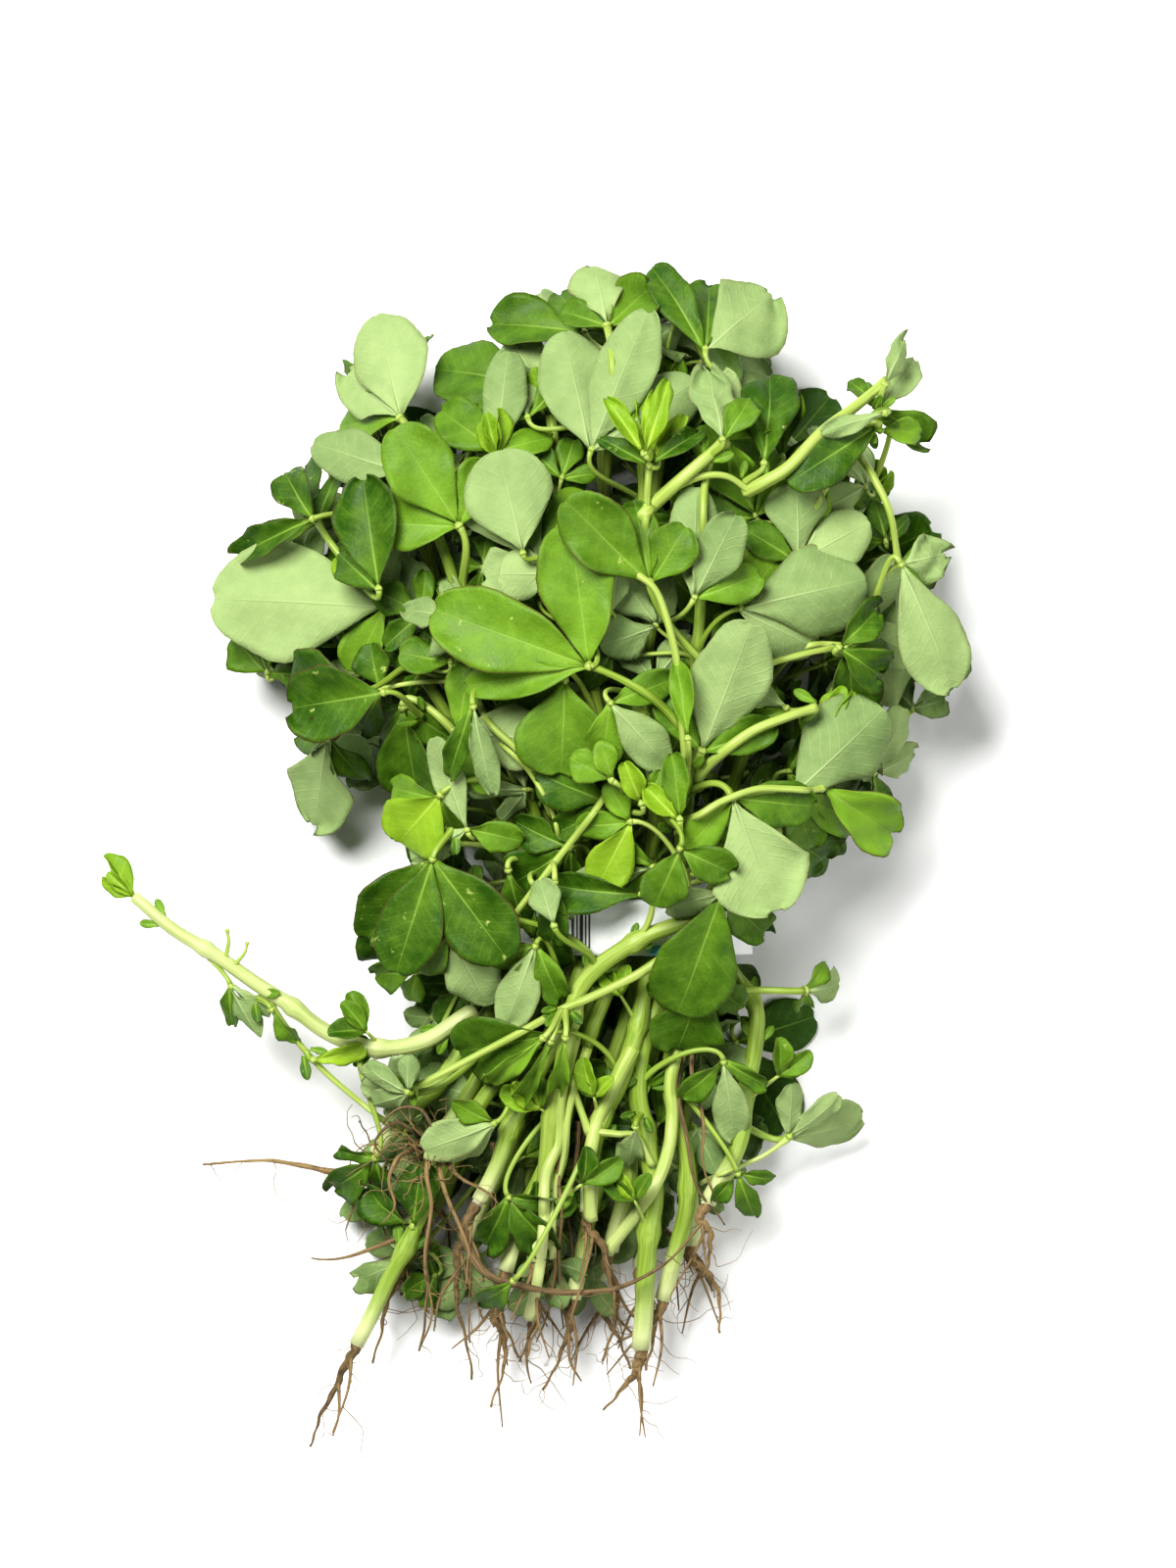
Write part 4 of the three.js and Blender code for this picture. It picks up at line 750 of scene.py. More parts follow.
# %% Look up all the leaves of the source
HEAD_SHARE = 0.42  # how far a leaf that shows turns outwards with the head: 0 is level, 1 all the way
FILLERS = {"count": 16, "tries": 160, "seed": 7, "length": 21, "lowest": 7, "share": 0.7}
OUTERMOST, INNERMOST = 0.95, 0.55  # of the way from the middle of the head to its surface
GOLDEN = math.pi * (3 - math.sqrt(5))
EVEN_STEP = 0.7548776662


def filler_row(k):
    """The junction and the leaflets of the k-th filling leaf."""
    random = draws(FILLERS["seed"] + k)
    z = 0.4 - 1.2 * ((k * EVEN_STEP) % 1)
    around = k * GOLDEN
    inset = OUTERMOST + (INNERMOST - OUTERMOST) * next(random)
    level = math.sqrt(1 - z * z) * inset
    junction = [HEAD["x"] + HEAD["a"] * level * math.cos(around),
                HEAD["y"] + HEAD["b"] * level * math.sin(around),
                max(HEAD["z"] + HEAD["c"] * inset * z, FILLERS["lowest"])]
    outward = math.degrees(math.atan2(junction[1] + 30, junction[0] - HEAD["x"]))
    azimuth = outward + 50 * (next(random) - 0.5)
    rows = []
    for turn in (0, 72, -72):
        length = FILLERS["length"] * (0.85 if turn else 1) * (0.8 + 0.4 * next(random))
        rows.append([azimuth + turn, length, 0.62, -6 if turn else 4, 1 if next(random) < 0.5 else -1])
    return junction, rows


found = []
for index, (x, y, azimuth) in enumerate(PRESSED):
    rows = [[azimuth + turn, 22 if turn else 27, 0.68, 0, -1] for turn in (0, 78, -78)]
    found.append(find_leaf(SEEDS["pressed"] + index, [x, y, BLADE_HALF], rows, fewest=2, share=None,
                           lifts=(0, 0.5, 1, 2), tilts=(0,)))
pressed_found = sum(leaf is not None for leaf in found)
for index, (place, *rows) in enumerate(LEAVES):
    match = find_leaf(index, place[:3], rows, fewest=1, share=HEAD_SHARE)
    if match:
        match["wanted"] = place[3:]
        match["shown"] = True
    found.append(match)
shown_found = sum(leaf is not None for leaf in found) - pressed_found
filled = 0
for k in range(FILLERS["tries"]):
    if filled == FILLERS["count"]:
        break
    match = find_leaf(SEEDS["filler"] + k, *filler_row(k), fewest=2, share=FILLERS["share"])
    if match:
        filled += 1
        found.append(match)
LEAF_PLACES = [leaf for leaf in found if leaf]
print("leaves found:", pressed_found, "pressed,", shown_found, "shown,", filled, "filling")

# %% [markdown]
# ## Growing the pieces
# A piece gathers many thin shells: blades, stalks, a stem. Each shell brings its points, its faces, the
# finish of each face, and the two stored vectors that the finishes read. A plain class keeps the lists,
# which is far quicker than joining a thousand small objects.

# %% A piece made of shells
SKINS = [UPPER, UNDER, YOUNG, STEM, BARK, PAPER]
UPPER_SLOT, UNDER_SLOT, YOUNG_SLOT, STEM_SLOT, BARK_SLOT, PAPER_SLOT = range(6)


class Piece:
    def __init__(self, name):
        self.name = name
        self.points, self.faces, self.slots, self.blade, self.tone = [], [], [], [], []
        self.count = 0

    def add(self, points, faces, stored, slot, tone):
        """Adds one shell, with one finish or one for each face, and one tone or one for each point."""
        self.points.append(points)
        self.faces += [[int(corner) + self.count for corner in face] for face in faces]
        self.slots += [slot] * len(faces) if isinstance(slot, int) else list(slot)
        self.blade.append(np.broadcast_to(stored, points.shape))
        self.tone.append(np.broadcast_to(tone, points.shape))
        self.count += len(points)

    def make(self, slot_name, packed):
        """Makes the object in metres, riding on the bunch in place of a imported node."""
        used = sorted(set(self.slots))
        mesh = bpy.data.meshes.new(self.name)
        places = (np.vstack(self.points) + SHIFT) * MM
        mesh.from_pydata(places.tolist(), [], self.faces)
        for skin in used:
            mesh.materials.append(SKINS[skin])
        mesh.polygons.foreach_set("material_index", [used.index(slot) for slot in self.slots])
        mesh.polygons.foreach_set("use_smooth", [True] * len(self.faces))
        for name, rows in (("blade", self.blade), ("tone", self.tone)):
            stored = mesh.attributes.new(name, "FLOAT_VECTOR", "POINT")
            stored.data.foreach_set("vector", np.vstack(rows).astype(np.float32).ravel())
        mesh.update()
        made = bpy.data.objects.new(self.name, mesh)
        bpy.context.scene.collection.objects.link(made)
        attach(made, "root")
        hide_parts(packed)

    def triangles(self):
        """How many triangles the faces make."""
        return sum(len(face) - 2 for face in self.faces)


def tone_rows(shade, wear, last):
    """One tone vector for each point, from three values or arrays of the same shape."""
    return np.stack(np.broadcast_arrays(shade, wear, last), axis=-1).reshape(-1, 3)


def quads(rows, columns):
    """The four corners of each face of a grid, row by row."""
    across = columns + 1
    for i in range(rows):
        for a in range(i * across, i * across + columns):
            yield a, a + 1, a + across + 1, a + across


print("finishes in order:", [skin.name for skin in SKINS])

# %% [markdown]
# Stems, stalks and roots are all tubes. The rings are carried along the path without twisting, and a
# stem's ring is slightly ribbed.

# %% Tubes
def tube(path, radii, sides, ribs=0.0):
    """Points, faces and stored places of a tube with closed ends."""
    path = np.asarray(path, float)
    heading = np.gradient(path, axis=0)
    heading /= np.linalg.norm(heading, axis=1)[:, None]
    side = unit(np.cross(heading[0], [0.31, 0.17, 0.93]))
    sides_list = []
    for way in heading:
        side = unit(side - way * side.dot(way))
        sides_list.append(side)
    first = np.array(sides_list)
    second = np.cross(heading, first)
    turn = 2 * math.pi * np.arange(sides) / sides
    ring = np.asarray(radii, float)[:, None] * (1 + ribs * np.cos(5 * turn))[None, :]
    points = (path[:, None, :] + first[:, None, :] * (ring * np.cos(turn))[:, :, None]
              + second[:, None, :] * (ring * np.sin(turn))[:, :, None])
    run = np.concatenate([[0], np.cumsum(np.linalg.norm(np.diff(path, axis=0), axis=1))])
    stored = tone_rows(run[:, None], ring * np.cos(turn), ring * np.sin(turn))
    faces = []
    for r in range(len(path) - 1):
        for k in range(sides):
            a, b = r * sides + k, r * sides + (k + 1) % sides
            faces.append((a, b, b + sides, a + sides))
    faces.append(tuple(range(sides - 1, -1, -1)))
    last = (len(path) - 1) * sides
    faces.append(tuple(range(last, last + sides)))
    return points.reshape(-1, 3), faces, stored


print("points of a short tube with eight sides:", len(tube([UP, 2 * UP, 3 * UP], [1, 1, 1], 8)[0]))

# %% [markdown]
# ## A leaflet
# A grid of points follows the leaflet's sums, with more rows near the tip. The fine one adds what the
# source leaves out: a blunt notched tip, small teeth in its upper half, a groove along the midrib, and
# shallow puckers between the veins. Two such grids, a third of a millimetre apart, make a thin blade.

# %% A leaflet
THIN_HALF = 0.17
TOOTH = 0.009
LEAST_ROOM = 34.0  # degrees; thin blades may pass over and under their neighbours
GRIDS = ((26, (20, 12)), (17, (14, 10)), (10, (10, 8)), (0, (6, 4)))


def outline(s, blunt):
    """Half the width at s along the midrib, as a share of the widest."""
    inner = np.sin(np.pi * np.power(s * blunt, 1.32))
    return np.power(np.clip(inner, 0, None), 0.76 - 0.36 * s)


def leaflet_surface(leaflet, s, t):
    """Middle points and normals of a leaflet over a grid of s and t."""
    bend, length, phase = leaflet["bend"] * s, leaflet["length"], leaflet["phase"]
    forward = np.sin(bend) / leaflet["bend"] * length
    down = (1 - np.cos(bend)) / leaflet["bend"] * length
    left = math.tan(math.radians(max(leaflet["room_left"], LEAST_ROOM)))
    right = math.tan(math.radians(max(leaflet["room_right"], LEAST_ROOM)))
    width = np.minimum(leaflet["half_width"] * outline(s, 0.996), np.where(t < 0, left, right) * s * length)
    side = np.sign(t)
    uneven = 0.045 * np.sin(6.3 * s + 4 * phase + 2.5 * side) + 0.025 * np.sin(14 * s + 9 * phase - side)
    width = np.maximum(width * (1 + uneven * leaflet["ragged"]), 0.5 * (1 - s))
    teeth = np.where(np.arange(len(s)) % 2 == 0, 1.0, -1.0)[:, None] * TOOTH * (s > 0.5) * (s < 0.99)
    x = t * width * (1 + teeth * (np.abs(t) > 0.99))
    notch = leaflet["notch"] * length * (1 - t ** 2) * np.clip((s - 0.93) / 0.07, 0, 1)
    ripple = leaflet["wave"] * t ** 2 * np.sin(np.pi * (2.2 * s + phase) + 1.9 * t)
    pucker = 0.035 * np.sin(7 * s + 5 * phase) * np.cos(4 * t + 3 * phase) * (1 - t ** 2)
    crease = leaflet["crease"] * np.sin(11 * s + 5 * t + 9 * phase) * np.minimum(1, 4 * s)
    curl = leaflet["curl"] * np.abs(t) ** 3 * s
    ruffles = leaflet["ruffle"] * np.sin(15 * s + 7 * phase + 1.3 * side)
    ruffles = ruffles * np.abs(t) ** 3 * np.minimum(1, 3 * s)
    groove = leaflet["cup"] * -0.28 * np.exp(-(x / 0.8) ** 2) * (1 - 0.6 * s)
    fold = leaflet["fold"] * (1 + leaflet["skew"] * side) * (np.sqrt(x ** 2 + 1) - 1)
    uneven_face = leaflet["half_width"] * (pucker + crease + curl)
    lift = (fold + ripple + uneven_face + groove + ruffles)[:, :, None]
    normal = (leaflet["along"] * np.sin(bend)[:, :, None] + leaflet["normal"] * np.cos(bend)[:, :, None])
    points = (leaflet["base"] + leaflet["along"] * (forward - notch)[:, :, None]
              - leaflet["normal"] * down[:, :, None] + leaflet["across"] * x[:, :, None] + normal * lift)
    return points, normal, x


def add_leaflet(piece, leaflet, random):
    """Adds a leaflet's thin closed blade to a piece."""
    rows, columns = next(size for least, size in GRIDS if leaflet["length"] >= least)
    shade = leaflet.get("shade", 0.15 + 0.7 * next(random))
    wear = leaflet.get("wear", next(random) ** 1.5)
    s = (1 - (1 - np.linspace(0, 1, rows + 1)) ** 1.5)[:, None] * np.ones((1, columns + 1))
    t = np.linspace(-1, 1, columns + 1)[None, :] * np.ones((rows + 1, 1))
    points, normal, x = leaflet_surface(leaflet, s, t)
    top, low = points + normal * THIN_HALF, points - normal * THIN_HALF
    blade = tone_rows(s * leaflet["length"], x, s)
    rim = np.maximum(np.abs(t), np.clip((s - 0.9) / 0.1, 0, 1) * 0.97)
    tone = tone_rows(shade, wear, rim)
    n, across = (rows + 1) * (columns + 1), columns + 1
    faces, slots = [], []
    upper = {1: UPPER_SLOT, -1: UNDER_SLOT, 2: YOUNG_SLOT}[leaflet["face"]]
    lower = {1: UNDER_SLOT, -1: UPPER_SLOT, 2: YOUNG_SLOT}[leaflet["face"]]
    for a, b, c, d in quads(rows, columns):
        faces += [(a, b, c, d), (n + a, n + d, n + c, n + b)]
        slots += [upper, lower]
    edge = [i * across for i in range(rows + 1)] + [rows * across + j for j in range(1, columns + 1)]
    edge += [i * across + columns for i in range(rows - 1, -1, -1)] + [j for j in range(columns - 1, 0, -1)]
    for a, b in zip(edge, edge[1:] + edge[:1]):
        faces.append((a, b, b + n, a + n))
        slots.append(upper)
    piece.add(np.vstack([top.reshape(-1, 3), low.reshape(-1, 3)]), faces, np.vstack([blade, blade]), slots,
              np.vstack([tone, tone]))


print("faces on each side of a leaflet:", {least: size[0] * size[1] for least, size in GRIDS})

# %% [markdown]
# ## A whole leaf
# The stalk leaves the stem at a small angle, arches over and ends in the joint, which is slightly
# swollen. Where the picture shows a stalk, it is raised over the leaves that would hide it.

# %% Stalks
STALK_STEPS = 20
MOST_RAISED = 9.0
NEAREST_FOOT, BEST_FOOT, FARTHEST_FOOT = 9, 26, 62  # from a leaf to its stalk's foot, as in the source


def packed_tree():
    """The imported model's faces, in plan millimetres, for finding what a new leaf would cross."""
    points, faces = [], []
    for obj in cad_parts.values():
        first = len(points)
        points += [tuple(np.array(v.co) / MM - SHIFT) for v in obj.data.vertices]
        faces += [tuple(first + k for k in face.vertices) for face in obj.data.polygons]
    return BVHTree.FromPolygons(points, faces)


PACKED = packed_tree()


def over_the_leaves(path, clear):
    """A stalk's path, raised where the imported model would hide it, but not at its ends."""
    raised = np.array(path, float)
    last = len(path) - 1
    for i in range(1, last):
        hit = PACKED.ray_cast((raised[i][0], raised[i][1], 200.0), (0, 0, -1))[0]
        if hit is not None:
            ease = min(1.0, 5 * i / last, 5 * (last - i) / last)
            raised[i][2] += ease * min(max(0.0, hit[2] + clear - raised[i][2]), MOST_RAISED)
    for _ in range(3):
        raised[1:-1, 2] = (raised[:-2, 2] + 2 * raised[1:-1, 2] + raised[2:, 2]) / 4
    return raised


def stalk_path(start, heading, leaf):
    """The stalk's path: it leaves forward along the stem and arrives along the middle leaflet."""
    end = leaf["junction"] - leaf["along"] * HUB_HALF
    reach = np.linalg.norm(end - start)
    guide = [start, start + heading * 0.35 * reach, end - leaf["along"] * 0.3 * reach, end]
    u = np.linspace(0, 1, STALK_STEPS + 1)[:, None]
    return ((1 - u) ** 3 * guide[0] + 3 * (1 - u) ** 2 * u * guide[1] + 3 * (1 - u) * u ** 2 * guide[2]
            + u ** 3 * guide[3])


def foothold(plant, junction, wanted):
    """Where on its plant's stem a leaf's stalk starts, and the stem's heading there, as in the source."""
    path, best = PATHS[plant], None
    for i in range(len(path) - 2):
        reach = np.linalg.norm(path[i] - junction)
        if reach < NEAREST_FOOT or reach > FARTHEST_FOOT:
            continue
        behind = max(0.0, path[i][1] - junction[1] + 6)
        cost = abs(reach - BEST_FOOT) + 0.5 * (behind if junction[1] > BAND_MIDDLE[1] else 0)
        if wanted:
            cost = math.hypot(path[i][0] - wanted[0], path[i][1] - wanted[1])
            cost += 0.3 * abs(path[i][2] - junction[2])
        if best is None or cost < best[0]:
            best = (cost, i)
    i = best[1]
    return path[i], unit(path[i] - path[i + 1])


print("packed triangles:", sum(len(obj.data.polygons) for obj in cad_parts.values()))

# %% [markdown]
# At the foot of a stalk sit two stipules, small pointed blades that clasp the stem.

# %% Leaves with their joints and stipules
STALK_RADIUS = 0.72


def small_blade(base, way, normal, length, share, face, bend=0.5, fold=0.3):
    """The numbers of a small blade that isn't one of a leaf's three: a stipule or a bud's leaf."""
    across = unit(np.cross(way, normal))
    return {"face": face, "length": length, "half_width": length * share / 2, "base": base,
            "along": way, "across": across, "normal": unit(np.cross(across, way)),
            "room_left": WIDEST_ROOM, "room_right": WIDEST_ROOM, "bend": bend, "fold": fold,
            "shade": 0.1 + 0.5 * ((7.7 * length) % 1), "wave": 0.2, "phase": 0.4, "notch": 0.0,
            "curl": 0.0, "ruffle": 0.03 * length, "skew": 0.0, "cup": 1, "crease": 0.04, "ragged": 1.5}


def add_leaf(piece, leaf, start, heading, random, thin=1.0, in_view=False):
    """Adds a leaf with its stalk, joint and stipules to its plant, and gives the stalk's path."""
    path = stalk_path(start, heading, leaf)
    if in_view:
        path = over_the_leaves(path, 1.3)
    share = np.linspace(0, 1, len(path))
    radii = STALK_RADIUS * thin * (1.3 - 0.45 * share + 0.3 * np.exp(-((share - 1) / 0.05) ** 2))
    piece.add(*tube(path, radii, 8, 0.05), STEM_SLOT, (next(random) * 0.7, 0.0, -0.1))
    nose = [path[-1], leaf["junction"], leaf["junction"] + leaf["along"] * 0.9]
    piece.add(*tube(nose, [0.95 * thin, 1.0 * thin, 0.45], 8), STEM_SLOT, (0.5, 0.0, -0.1))
    for leaflet in leaf["leaflets"]:
        add_leaflet(piece, leaflet, random)
    side = unit(np.cross(heading, UP))
    for turn in (-1, 1):
        way = unit(heading + side * turn * 0.55)
        size = 4.5 + 2.5 * next(random)
        add_leaflet(piece, small_blade(start + side * turn * 1.3, way, UP, size, 0.42, 1), random)
    return path


print("a stalk is", 2 * STALK_RADIUS, "mm thick")

# %% [markdown]
# ## A stem
# A stem swells at each node, where leaves grow, and wanders a little between them. It ends in a bud of
# bright folded young blades.

# %% Stems, buds and side shoots
FINE = 6
STEM_SIDES = 14
NODE_SWELL = 0.36
NODE_GAP = 27  # from one node to the next, as wide apart as fenugreek has them
BLANCHED = 30.0  # how far up from the root no light reached the stem
SPRIG_PAINTED_PALENESS = 0.75  # painted paleness: the sprig lies out at the side in more light, so its stem is drawn partly blanched all along
PLUMP = {"over_band": 1.45, "side_sprig": 1.28}  # how much thicker than in the source a stem is drawn


def fine_stem(name):
    """A stem's path, radii and nodes."""
    route, foot, _ = ROUTES[name]
    path = smooth(route, STEM_STEPS * FINE)
    seed = draws(SEEDS["stem"] + list(ROUTES).index(name))
    share = np.linspace(0, 1, len(path))
    radii = (1.2 + (foot - 1.2) * np.minimum(1, 1.6 * share)) * PLUMP.get(name, 1.15)
    run = np.concatenate([[0], np.cumsum(np.linalg.norm(np.diff(path, axis=0), axis=1))])
    sway = 0.5 * np.sin(run / 11 + 6 * next(seed)) + 0.35 * np.sin(run / 6.3 + 6 * next(seed))
    near_band = np.exp(-((path[:, 1] - BAND_MIDDLE[1]) / 12) ** 2)
    ends = np.minimum(1, np.minimum(share, 1 - share) * 12)
    path = path + np.outer(sway * (1 - near_band) * ends, [1.0, 0.0, 0.4])
    places = np.arange(14 + 12 * next(seed), run[-1] - 8, NODE_GAP)
    zigzag = np.zeros_like(run)
    for k, place in enumerate(places):
        radii = radii * (1 + NODE_SWELL * np.exp(-((run - place) / 1.9) ** 2))
        zigzag += (1 if k % 2 else -1) * 0.9 * np.exp(-((run - place) / 7) ** 2)
    path = path + np.outer(zigzag * (1 - near_band) * ends, [1.0, 0.0, 0.0])
    return path, radii, run, places


def add_bud(piece, tip, heading, random):
    """Adds a bud of three folded young blades at a stem's tip."""
    side = unit(np.cross(heading, UP))
    for k in range(3):
        lean = (k - 1) * 0.38 + 0.1 * next(random)
        way = unit(heading + side * lean + UP * (0.15 + 0.2 * next(random)))
        size = 9 + 5 * next(random)
        blade = small_blade(tip, way, unit(UP + side * (k - 1)), size, 0.42, 2, 0.35, 0.9)
        add_leaflet(piece, blade, random)


def add_side_shoot(piece, place, heading, random):
    """Adds a short shoot at a stem's node: a thin stalk with two or three little blades."""
    side = unit(np.cross(heading, UP)) * (1 if next(random) < 0.5 else -1)
    way = unit(heading * 0.8 + side * (0.4 + 0.6 * next(random)) + UP * 0.7 * next(random))
    reach = 4 + 10 * next(random) ** 2
    path = smooth([place, place + way * reach * 0.5, place + (way + UP * 0.25) * reach], 6)
    radii = np.linspace(0.75, 0.4, len(path))
    piece.add(*tube(path, radii, 7, 0.05), STEM_SLOT, (0.3 + 0.4 * next(random), 0.0, -0.1))
    for k in range(2 + (next(random) < 0.5)):
        turn = unit(way + side * (k - 0.7) * 0.8 + UP * (0.3 * next(random)))
        size = 6 + 7 * next(random)
        face = 2 if next(random) < 0.12 else 1
        blade = small_blade(path[-1], turn, unit(UP + side * 0.4), size, 0.5, face, 0.7, 0.9)
        add_leaflet(piece, blade, random)


print("the first stem has its nodes at", fine_stem("a1")[3].round(), "mm from the tip")

# %% [markdown]
# Each stem starts the piece of its plant. Below the band it is pale, and some of its nodes carry a shoot.

# %% Grow the stems
SHOOTS_BELOW = 12  # how far below the band's middle the first side shoots grow
SHOOT_CHANCE = 0.45
pieces = {}
for index, name in enumerate(ROUTES):
    piece = Piece("greens_" + name)
    path, radii, run, places = fine_stem(name)
    pale = np.clip(1 - (run[-1] - run) / BLANCHED, -0.2, 1.0) if ROUTES[name][2] else 0 * run + SPRIG_PAINTED_PALENESS
    shade = next(draws(SEEDS["shade"] + index)) * 0.6
    tone = tone_rows(shade, 0.0, np.repeat(pale, STEM_SIDES))
    piece.add(*tube(path, radii, STEM_SIDES, 0.05), STEM_SLOT, tone)
    random = draws(SEEDS["shoots"] + index)
    add_bud(piece, path[0], unit(path[0] - path[2]), random)
    for place in places:
        at = min(int(np.searchsorted(run, place)), len(path) - 2)
        if path[at][1] < BAND_MIDDLE[1] - SHOOTS_BELOW and next(random) < SHOOT_CHANCE:
            add_side_shoot(piece, path[at], unit(path[at] - path[at + 1]), random)
    pieces[name] = piece
print("stems grown:", len(pieces))

# %% [markdown]
# Now every leaf of the source goes on its plant. Some have a look of their own, kept by the place of the
# leaf's junction in the plan: how light it is, how worn, and how crumpled, each from 0 to 1. How light a
# leaf is holds its own green and, for the leaves that lie in shadow, painted shade as well.

# %% The leaves of the source
THICK_IN_VIEW = 1.45  # how much thicker than the others a stalk in view is drawn
# The low shades of leaves that lie in shadow are partly painted shade
LOOKS = {
    (0, 31): (0.65, 0.95, 0.12), (16, 53): (0.42, 0.9, 0.2), (-12, 58): (0.85, 0.2, 0.0),
    (30, 9): (0.35, 0.3, 0.1), (31, 115): (0.12, 0.4, 0.25), (35, -29): (0.3, 0.3, 0.0),
    (-54, 47): (0.7, 0.2, 0.0), (-50, 97): (0.6, 0.3, 0.0), (-50, 81): (0.2, 0.5, 0.15),
    (-72, 70): (0.05, 1.0, 0.45), (-49, 53): (0.0, 0.6, 0.1), (-34, 68): (0.6, 0.3, 0.1),
    (-16, 97): (0.3, 0.4, 0.2), (1, 88): (0.1, 0.2, 0.1), (-13, 105): (0.3, 0.4, 0.0),
    (-1, 120): (0.25, 0.4, 0.1), (16, 84): (0.8, 0.1, 0.8), (36, 90): (0.6, 0.3, 0.4),
    (77, 99): (0.3, 0.7, 0.6), (76, 96): (0.1, 0.8, 0.6), (81, 56): (0.6, 0.5, 0.15),
    (68, 36): (0.15, 0.8, 0.5), (52, -18): (0.1, 0.7, 0.25), (-6, 27): (0.65, 0.3, 0.0),
    (-34, 14): (0.55, 0.6, 0.35), (-49, 20): (0.25, 0.5, 0.2), (-55, 25): (0.12, 1.0, 0.2),
    (-69, 12): (0.15, 0.5, 0.0), (-40, -4): (0.7, 0.5, 0.15), (-41, -21): (0.15, 1.0, 0.0),
    (31, -51): (0.2, 0.4, 0.1), (-10, -66): (0.25, 0.3, 0.15), (20, -7): (0.4, 0.5, 0.5),
    (24, -17): (0.3, 0.3, 0.2), (6, -5): (0.12, 0.5, 0.2), (-13, -23): (0.1, 0.5, 0.2),
    (-5, -17): (0.08, 0.4, 0.2), (-14, -43): (0.4, 0.6, 0.1),
    (-36, -40): (0.4, 0.5, 0.1), (58, -55): (0.6, 0.4, 0.25), (36, -74): (0.3, 0.4, 0.2),
    (54, -94): (0.5, 0.3, 0.15), (-32, -12): (0.5, 0.4, 0.0), (-21, -110): (0.08, 0.6, 0.5),
    (-20, -132): (0.1, 0.5, 0.5), (-4, -122): (0.08, 0.5, 0.4), (-50, -128): (0.1, 0.5, 0.6),
    (-57, -100): (0.05, 0.5, 0.4), (-42, -112): (0.05, 0.5, 0.5), (12, -91): (0.3, 0.5, 0.5),
    (40, -104): (0.2, 0.5, 0.2),
}
stalks_in_view = []


def dress(leaf, shade, wear, crumple):
    """Gives all the leaflets of a leaf one look. Young ones that crumple have shrunk as well."""
    for leaflet in leaf["leaflets"]:
        leaflet["shade"] = 0.45 + 0.55 * shade if leaflet["face"] == -1 else shade
        leaflet["wear"] = wear
        if leaflet["face"] == 2 and crumple:
            leaflet["length"] *= 0.74
            leaflet["half_width"] *= 0.62
        if crumple:
            ruffle_up(leaflet, 1, crumple)


for index, found_leaf in enumerate(LEAF_PLACES):
    leaf, plant, wanted = found_leaf["leaf"], found_leaf["plant"], found_leaf.get("wanted")
    look = LOOKS.get((round(leaf["junction"][0]), round(leaf["junction"][1])))
    if look:
        dress(leaf, *look)
    # Painted shade: the pressed leaves show only through gaps, so they lie upper face up, painted as dark as
    # the finish goes
    if index < pressed_found:
        for leaflet in leaf["leaflets"]:
            leaflet["face"], leaflet["shade"] = 1, 0.0
    start, heading = foothold(plant, leaf["junction"], wanted)
    thick = THICK_IN_VIEW if wanted else 1.0
    path = add_leaf(pieces[plant], leaf, start, heading, draws(SEEDS["leaf"] + index), thick, bool(wanted))
    if wanted:
        stalks_in_view.append(path)
print("leaves grown:", len(LEAF_PLACES), "with", len(stalks_in_view), "stalks in view")

# %% [markdown]
# ## The leaves between
# A real bunch is packed far closer than a printable model can be: a second and a third layer of leaves
# fills every gap, and only deep shadow shows between them. These leaves are grown here. Each is tried at a
# place inside the bunch's outline, from the top layer down, and kept where a coarse version of it crosses
# nothing that is already there. Its stalk comes from the nearest stem.

# %% The outline of the bunch
HEAD_EDGE = [
    (10, 138), (19, 140), (36, 130), (45, 137), (56, 130), (52, 109), (52, 96), (65, 98), (79, 112), (87, 94),
    (78, 86), (94, 68), (95, 52), (101, 35), (95, 19), (88, 5), (84, -18), (68, -16), (67, -31), (52, -34),
    (45, -44), (-42, -47), (-56, -52), (-61, -39), (-52, -23), (-55, -5), (-68, -8), (-81, -13), (-91, -8),
    (-90, 3), (-78, 16), (-81, 26), (-96, 34), (-99, 52), (-91, 61), (-68, 62), (-91, 66), (-81, 78),
    (-77, 96), (-60, 94), (-71, 109), (-70, 120), (-57, 127), (-44, 114), (-43, 101), (-31, 104),
    (-34, 117), (-23, 127), (-10, 133), (0, 135),
]
FOOT_EDGE = [
    (-50, -46), (-50, -75), (-57, -92), (-65, -104), (-66, -117), (-58, -130), (-60, -145), (16, -145),
    (27, -133), (37, -117), (44, -101), (48, -78), (46, -46),
]
LEFT_FOOT_EDGE = [(-48, -76), (-38, -80), (-36, -146), (-60, -148), (-70, -126), (-66, -104), (-57, -90)]


def inside(x, y, edge):
    """Whether a place lies inside an outline, by counting the sides that it crosses."""
    crossings = 0
    for (ax, ay), (bx, by) in zip(edge, edge[1:] + edge[:1]):
        if (ay > y) != (by > y) and x < ax + (y - ay) * (bx - ax) / (by - ay):
            crossings += 1
    return crossings % 2 == 1


print("outlines with", len(HEAD_EDGE), len(FOOT_EDGE), "and", len(LEFT_FOOT_EDGE), "corners")

# %% [markdown]
# Whether two blades cross is asked of a coarse version of them, which is quick and near enough.

# %% What is already there
def coarse_shape(leaf):
    """A leaf's blades as a few faces each, with their lowest and highest corner, and all corners."""
    s = np.linspace(0.05, 1, 5)[:, None] * np.ones((1, 3))
    t = np.array([[-0.95, 0.0, 0.95]]) * np.ones((5, 1))
    points, faces = [], []
    for leaflet in leaf["leaflets"]:
        grid, _, _ = leaflet_surface(leaflet, s, t)
        faces += [[len(points) + corner for corner in face] for face in quads(4, 2)]
        points += grid.reshape(-1, 3).tolist()
    corners = np.array(points)
    return BVHTree.FromPolygons(points, faces), corners.min(axis=0), corners.max(axis=0), corners


placed_trees = [(PACKED, np.full(3, -1e3), np.full(3, 1e3))]


